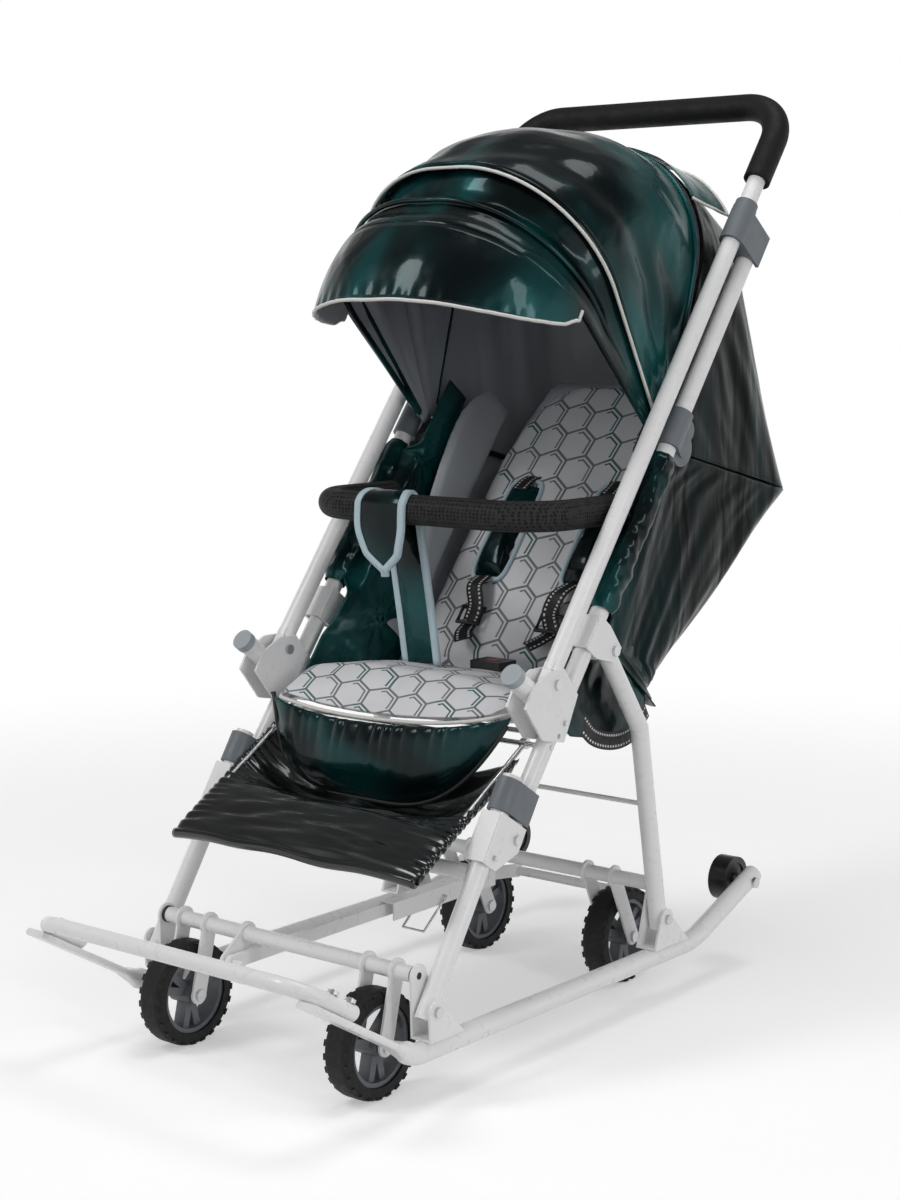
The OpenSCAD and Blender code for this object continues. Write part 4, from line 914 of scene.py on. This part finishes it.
def foot_at(u, v):
    """The top of the sling, which lies over the wire at its sides and front."""
    y = lerp(*FOOT_Y, v)
    wire = lerp(WIRE_LOW[1], WIRE_HIGH[1], (y - WIRE_LOW[0]) / (WIRE_HIGH[0] - WIRE_LOW[0])) + 5.5
    e = abs(2 * u - 1)
    c = 1 - e ** 3
    sag = lerp(10, 78, smooth(0.3, 0.8, v)) * (1 - 0.35 * smooth(0.9, 1.0, v))
    z = lerp(wire, lerp(*FOOT_Z, v) - sag, c)
    pull = 3.6 * wave(u * 4, v * 16 + 0.6 * math.sin(u * 9), 2.6) + 1.8 * wave(u * 9, v * 34, 7.2)
    edge = 1.6 * math.sin(v * 120 + 3 * wave(v * 9, u * 2)) * smooth(0.78, 0.95, e)
    z += pull * c * smooth(0.0, 0.12, v) + edge * smooth(0.0, 0.06, v)
    return (lerp(-FOOT_HALF, FOOT_HALF, u), y, z)


def foot_droop(u):
    """How far the slack front hem hangs below the wire."""
    return 9 * (0.2 + 0.8 * bell(u - 0.63, 0.12) + 0.5 * bell(u - 0.28, 0.1)) * (1 - abs(2 * u - 1) ** 3)


def foot_loop(u, v):
    """Over the top from front to rear, then back underneath, closed along both sides round the wire."""
    u = lerp(u, 0.5 - 0.5 * math.cos(math.pi * u), 0.7)
    k = 2 * v if v < 0.5 else 2 - 2 * v
    x, y, z = foot_at(u, k)
    e = abs(2 * u - 1)
    deep = lerp(6.0, 11.0, smooth(0.80, 0.93, e)) + (5.0 + foot_droop(u)) * bell(k, 0.05)
    ends = math.sin(math.pi * min(0.5, 0.05 + 12 * k * (1 - k)))
    half = 0.5 * deep * math.sqrt(max(0.0, 1 - e ** 44)) * ends
    return (x, y, z - 0.5 * deep + (half if v < 0.5 else -half))


def foot_hem_at(u):
    x, y, z = foot_at(u, 0)
    return (x, y - 1.0, z - 7.5 - 0.6 * foot_droop(u))


foot = surface("footrest_sling", foot_loop, 110, 150, [LACQUER_BLACK], 0)
dress(foot, "footrest")
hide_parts("footrest_cover")
foot_hem = [P(*foot_hem_at(lerp(0.012, 0.988, i / 90))) for i in range(91)]
dress(tube("footrest_hem", foot_hem, 6.2, LACQUER_BLACK, n=10), "footrest")


# The back
FACE_HALF = 159  # half the width of its printed face
FACE_FROM = 235  # where along the back the face's rounded top starts
FACE_RISE = 243


def back_coords(co):
    """Across, along the back and out of it, in mm."""
    y = (co[:, 1] + MID) / MM - BACK_AT[0]
    z = co[:, 2] / MM - BACK_AT[1]
    return co[:, 0] / MM, y * BACK_C + z * BACK_S, -y * BACK_S + z * BACK_C


def insert_edge(x, a):
    """Signed distance in mm into the printed face with a rounded top."""
    up = np.maximum(a - FACE_FROM, 0) / FACE_RISE
    r = (np.abs(x / FACE_HALF) ** 2.5 + up ** 2.5) ** 0.4
    return (1 - r) * 150


pad = puff("back_cushion", "back_pad", PRINT, cap=6.0)
pad_co = points(pad)
pad_x, pad_a, pad_h = back_coords(pad_co)
face_edge = insert_edge(pad_x, pad_a)
groove = 3.0 * np.exp(-(face_edge / 5.0) ** 2) * (pad_h > 5)
settle(pad, pad_co - normals(pad) * groove[:, None] * MM)
mark(pad, "print_at", np.stack([pad_x, pad_a, np.where(pad_h > 2, face_edge, -20)], 1) * MM)
dress(pad, "backrest")
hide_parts("back_pad")

wings = puff("side_wings_pad", "side_wings", SATIN, cap=3.0, voxel=4.0, shrink=0.5)
dress(wings, "backrest")
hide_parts("side_wings")

pads = puff("shoulder_pads_soft", "shoulder_pads", LACQUER, cap=4.0, voxel=4.0, shrink=1.0)
dress(pads, "backrest")
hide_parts("shoulder_pads")

# The harness
PAD_AT = (70, 225)  # a shoulder pad's middle, across and along the back
PAD_HALF = (27, 76)
STRAP_WIDE = 24
STRAP_THICK = 1.8


def pad_outline(s, n=64):
    """The binding's line round a shoulder pad: a rectangle with well rounded corners."""
    out = []
    for i in range(n):
        t = 2 * math.pi * i / n
        cosine, sine = math.cos(t), math.sin(t)
        x = math.copysign(abs(cosine) ** 0.35, cosine) * PAD_HALF[0]
        along = math.copysign(abs(sine) ** 0.35, sine) * PAD_HALF[1]
        out.append(P(*back_at(s * PAD_AT[0] + x, PAD_AT[1] + along, 33.5)))
    return out


def harness_strap(name, s, knots, n):
    path = spline([back_at(s * x, along, out) for x, along, out in knots], n)
    dress(ribbon(name, path, (1, 0, 0), STRAP_WIDE, STRAP_THICK, WEBBING), "backrest")


for s, side in SIDES:
    dress(tube(f"pad_binding_{side}", pad_outline(s), 3.4, BINDING, closed=True), "backrest")
    harness_strap(f"shoulder_strap_{side}", s, ((66, 312, 30), (70, 300, 38), (70, 280, 46.5)), 6)
    harness_strap(f"waist_strap_{side}", s, ((70, 150, 40), (66, 128, 52), (58, 104, 44), (64, 84, 34),
                                             (60, 66, 42), (50, 52, 48)), 8)
    corners = ((-1, -1), (1, -1), (1, 1), (-1, 1))
    lock_line = [P(*back_at(s * 62 + 17 * a, 92 + 11 * b, 40)) for a, b in corners]
    dress(tube(f"ladder_lock_{side}", lock_line, 3.0, DARK, closed=True), "backrest")


# The crotch strap, which rises from the seat and turns over the bumper
BAR = (24.0, 611.0)  # the bumper's middle
BAR_R = 20.6  # the strap's radius round it
strap_knots = [(-30, 64, 421), (-33, 59, 470), (-37, 52, 530), (-41, 46, 580)]
for k in range(9):
    turn = math.radians(10 + 160 * k / 8)
    strap_knots.append((-44, BAR[0] + BAR_R * math.cos(turn), BAR[1] + BAR_R * math.sin(turn)))
strap_knots += [(-43, 1.8, 590), (-41, 2.0, 568), (-39, 4.0, 548), (-38, 6.0, 534)]
strap_path = spline(strap_knots, 6)
STRAP_LAST = len(strap_path) - 1


def strap_width(k):
    """Wider over the bumper, drawn in to a rounded end."""
    w = lerp(56, 74, smooth(0.35, 0.7, k))
    return w * max(0.06, 1 - smooth(0.80, 0.93, k) * 0.28 - 0.66 * smooth(0.90, 1.0, k) ** 0.7)


strap_widths = [strap_width(i / STRAP_LAST) for i in range(STRAP_LAST + 1)]


def strap_binding():
    """One ribbon up the left edge of the strap, round its end and back down the right edge."""
    up = range(STRAP_LAST + 1)
    order = [(-1, i) for i in up] + [(1, i) for i in reversed(up)]
    line = [strap_path[i] + Vector((s * (strap_widths[i] * 0.5 - 3.5) * MM, 0, 0)) for s, i in order]
    across = []
    for j, (_, i) in enumerate(order):
        face = run_at(strap_path, i).cross(Vector((1, 0, 0)))
        across.append(run_at(line, j).cross(face).normalized())
    return ribbon("strap_binding", line, across, 9, 5.2, BINDING)


strap = ribbon("crotch_strap_cloth", strap_path, (1, 0, 0), strap_widths, 3.0, LACQUER)
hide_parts("crotch_strap")
binding = strap_binding()
for ob in (strap, binding):
    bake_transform(ob)


# Covers round the side tubes
WRAP = (118, 332)  # their ends along the tube
WRAP_R = 17.5


def wrap_at(s):
    def f(u, v):
        t = lerp(*WRAP, v)
        y, z = side_at(t)
        w = 2 * math.pi * u
        r = WRAP_R + 2.6 * wave(math.cos(w) * 2 + s, math.sin(w) * 2, t / 22) + 1.5 * wave(3, v * 18, s)
        r -= 4.5 * (bell(v, 0.03) + bell(1 - v, 0.03))
        back = r * math.sin(w)
        return (s * HALF_W + r * math.cos(w), y + back * SIDE_S, z - back * SIDE_C)
    return f


for s, side in SIDES:
    wrap = surface(f"tube_wrap_{side}", wrap_at(s), 36, 80, [LACQUER], 0, around=True)
    dress(wrap, "upper")
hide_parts("side_covers")

# The padded side walls between the side tubes and the back, down to the skirts beside the seat
WALL_X = (181, 171.5)  # low down and high up
TUFT_X = 169.6
TUFT_R = 5
# Places along the tube, each with the wall's reach or the tuft's place behind it
WALL = ((-12, 72), (45, 190), (95, 182), (154, 140), (267, 108), (330, 90), (345, 40), (430, 34))
TUFTS = ((312, 8), (205, 34), (110, 70))


def wall_at(s):
    def f(u, v):
        t = lerp(WALL[0][0], WALL[-1][0], v)
        w = lerp(-7, np.interp(t, *zip(*WALL)), u)
        y, z = side_at(t, w)
        edge = smooth(0, 0.08, u) * smooth(0, 0.08, 1 - u) * smooth(0, 0.03, v) * smooth(0, 0.03, 1 - v)
        fold = 3.2 * abs(wave(w / 34 + 0.4 * s, t / 120, 3.0)) + 2.4 * abs(wave(w / 60, t / 26, 5.5)) - 1.2
        for tuft_t, tuft_w in TUFTS:
            d = math.hypot(t - tuft_t, w - tuft_w)
            rays = math.cos(8 * math.atan2(t - tuft_t, w - tuft_w))
            fold -= 4.5 * bell(d, 11) + 1.6 * bell(d, 42) * rays
        x = lerp(*WALL_X, smooth(440, 470, z)) - 6.5 * smooth(318, 340, t)
        tuck = (1 - smooth(0.0, 0.13, u)) * smooth(100, 135, t) * (1 - smooth(315, 332, t))
        return (s * lerp(x + fold * edge, HALF_W - 9, tuck), y, z)
    return f


walls = []
for s, side in SIDES:
    wall = surface(f"side_wall_{side}", wall_at(s), 56, 130, [LACQUER], 2.4, flip=s < 0)
    walls.append(dress(wall, "upper"))

tufts = []
for s, side in SIDES:
    for i, spot in enumerate(TUFTS):
        y, z = side_at(*spot)
        turns = [j * math.pi / 8 for j in range(16)]
        ring = [P(s * TUFT_X, y + TUFT_R * math.cos(a), z + TUFT_R * math.sin(a)) for a in turns]
        tuft = tube(f"tuft_{side}{i}", ring, 2.2, LACQUER, closed=True)
        tufts.append(dress(tuft, "upper"))

# The side walls, their tufts and the rear cover each get a mesh of their own
for ob in walls + tufts:
    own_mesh(ob)
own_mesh(back_cover)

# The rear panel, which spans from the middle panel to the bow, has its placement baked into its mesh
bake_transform(hood_rear)


# Floor, light and camera
FLOOR_HALF = 30
FLOOR_FADE = (0.7, 2.4)


def floor_finish():
    """A pale floor that fades into white away from the object, and glows only where it is seen."""
    m, t, b = new_mat("floor", (0.82, 0.82, 0.82), 0.9, Specular_IOR_Level=0.0)
    ray = t.nodes.new("ShaderNodeLightPath")
    seen = calc(t, "MAXIMUM", ray.outputs["Is Camera Ray"], ray.outputs["Is Glossy Ray"])
    seen = calc(t, "MAXIMUM", seen, ray.outputs["Is Transmission Ray"])
    far = ramp(t, vcalc(t, "LENGTH", place(t, (1, 1, 0)), out=1), *FLOOR_FADE)
    close = mix(t, grain(t, 3), (0.80, 0.80, 0.80), (0.84, 0.84, 0.84))
    tint(t, b, far, close, (0.0, 0.0, 0.0))
    glow = calc(t, "MULTIPLY", seen, calc(t, "MULTIPLY_ADD", far, 0.64, 0.36))
    b.inputs["Emission Color"].default_value = (1, 1, 1, 1)
    t.links.new(glow, b.inputs["Emission Strength"])
    return m


floor_corners = [(FLOOR_HALF * a, FLOOR_HALF * b, 0) for a, b in ((-1, -1), (1, -1), (1, 1), (-1, 1))]
floor = build("floor", floor_corners, [(0, 1, 2, 3)], [floor_finish()])

world = bpy.data.worlds.new("studio")
scene.world = world
world.use_nodes = True
sky = world.node_tree
shade = sky.nodes["Background"]
sky_at = sky.nodes.new("ShaderNodeTexCoord")
height = split(sky, sky_at.outputs["Generated"])[2]
sky.links.new(ramp(sky, height, 0.17, 0.5, 1.0, 0.22), shade.inputs["Color"])
shade.inputs["Strength"].default_value = 1.0


def lamp(name, at, aim, wide, tall, watts):
    d = bpy.data.lights.new(name, "AREA")
    d.shape = "RECTANGLE"
    d.size = wide
    d.size_y = tall
    d.energy = watts
    ob = bpy.data.objects.new(name, d)
    scene.collection.objects.link(ob)
    ob.location = at
    ob.rotation_euler = (Vector(aim) - Vector(at)).to_track_quat("-Z", "Y").to_euler()


lamp("key", at=(-1.1, -1.9, 2.6), aim=(0, 0.05, 0.6), wide=0.8, tall=1.1, watts=26)
lamp("top", at=(0.3, 0.3, 2.9), aim=(0, 0.1, 0.6), wide=0.9, tall=1.3, watts=18)
lamp("side", at=(2.4, -0.4, 1.5), aim=(0, 0.1, 0.6), wide=0.35, tall=1.6, watts=12)

# The camera's place in metres from the handle pivot, its pitch and turn in degrees, and its lens and sensor
EYE_AT = (1.61501, -1.91921, 0.84079)
EYE_PITCH = 7.582
EYE_TURN = 38.916
LENS = 64.6416
SENSOR = 36.0

cam = bpy.data.cameras.new("camera")
cam.sensor_fit = "VERTICAL"
cam.sensor_height = SENSOR
cam.lens = LENS
eye = bpy.data.objects.new("camera", cam)
scene.collection.objects.link(eye)
eye.location = (EYE_AT[0], EYE_AT[1] - MID, EYE_AT[2])
eye.rotation_euler = (math.radians(90 - EYE_PITCH), 0, math.radians(EYE_TURN))
scene.camera = eye
scene.view_settings.view_transform = "Standard"
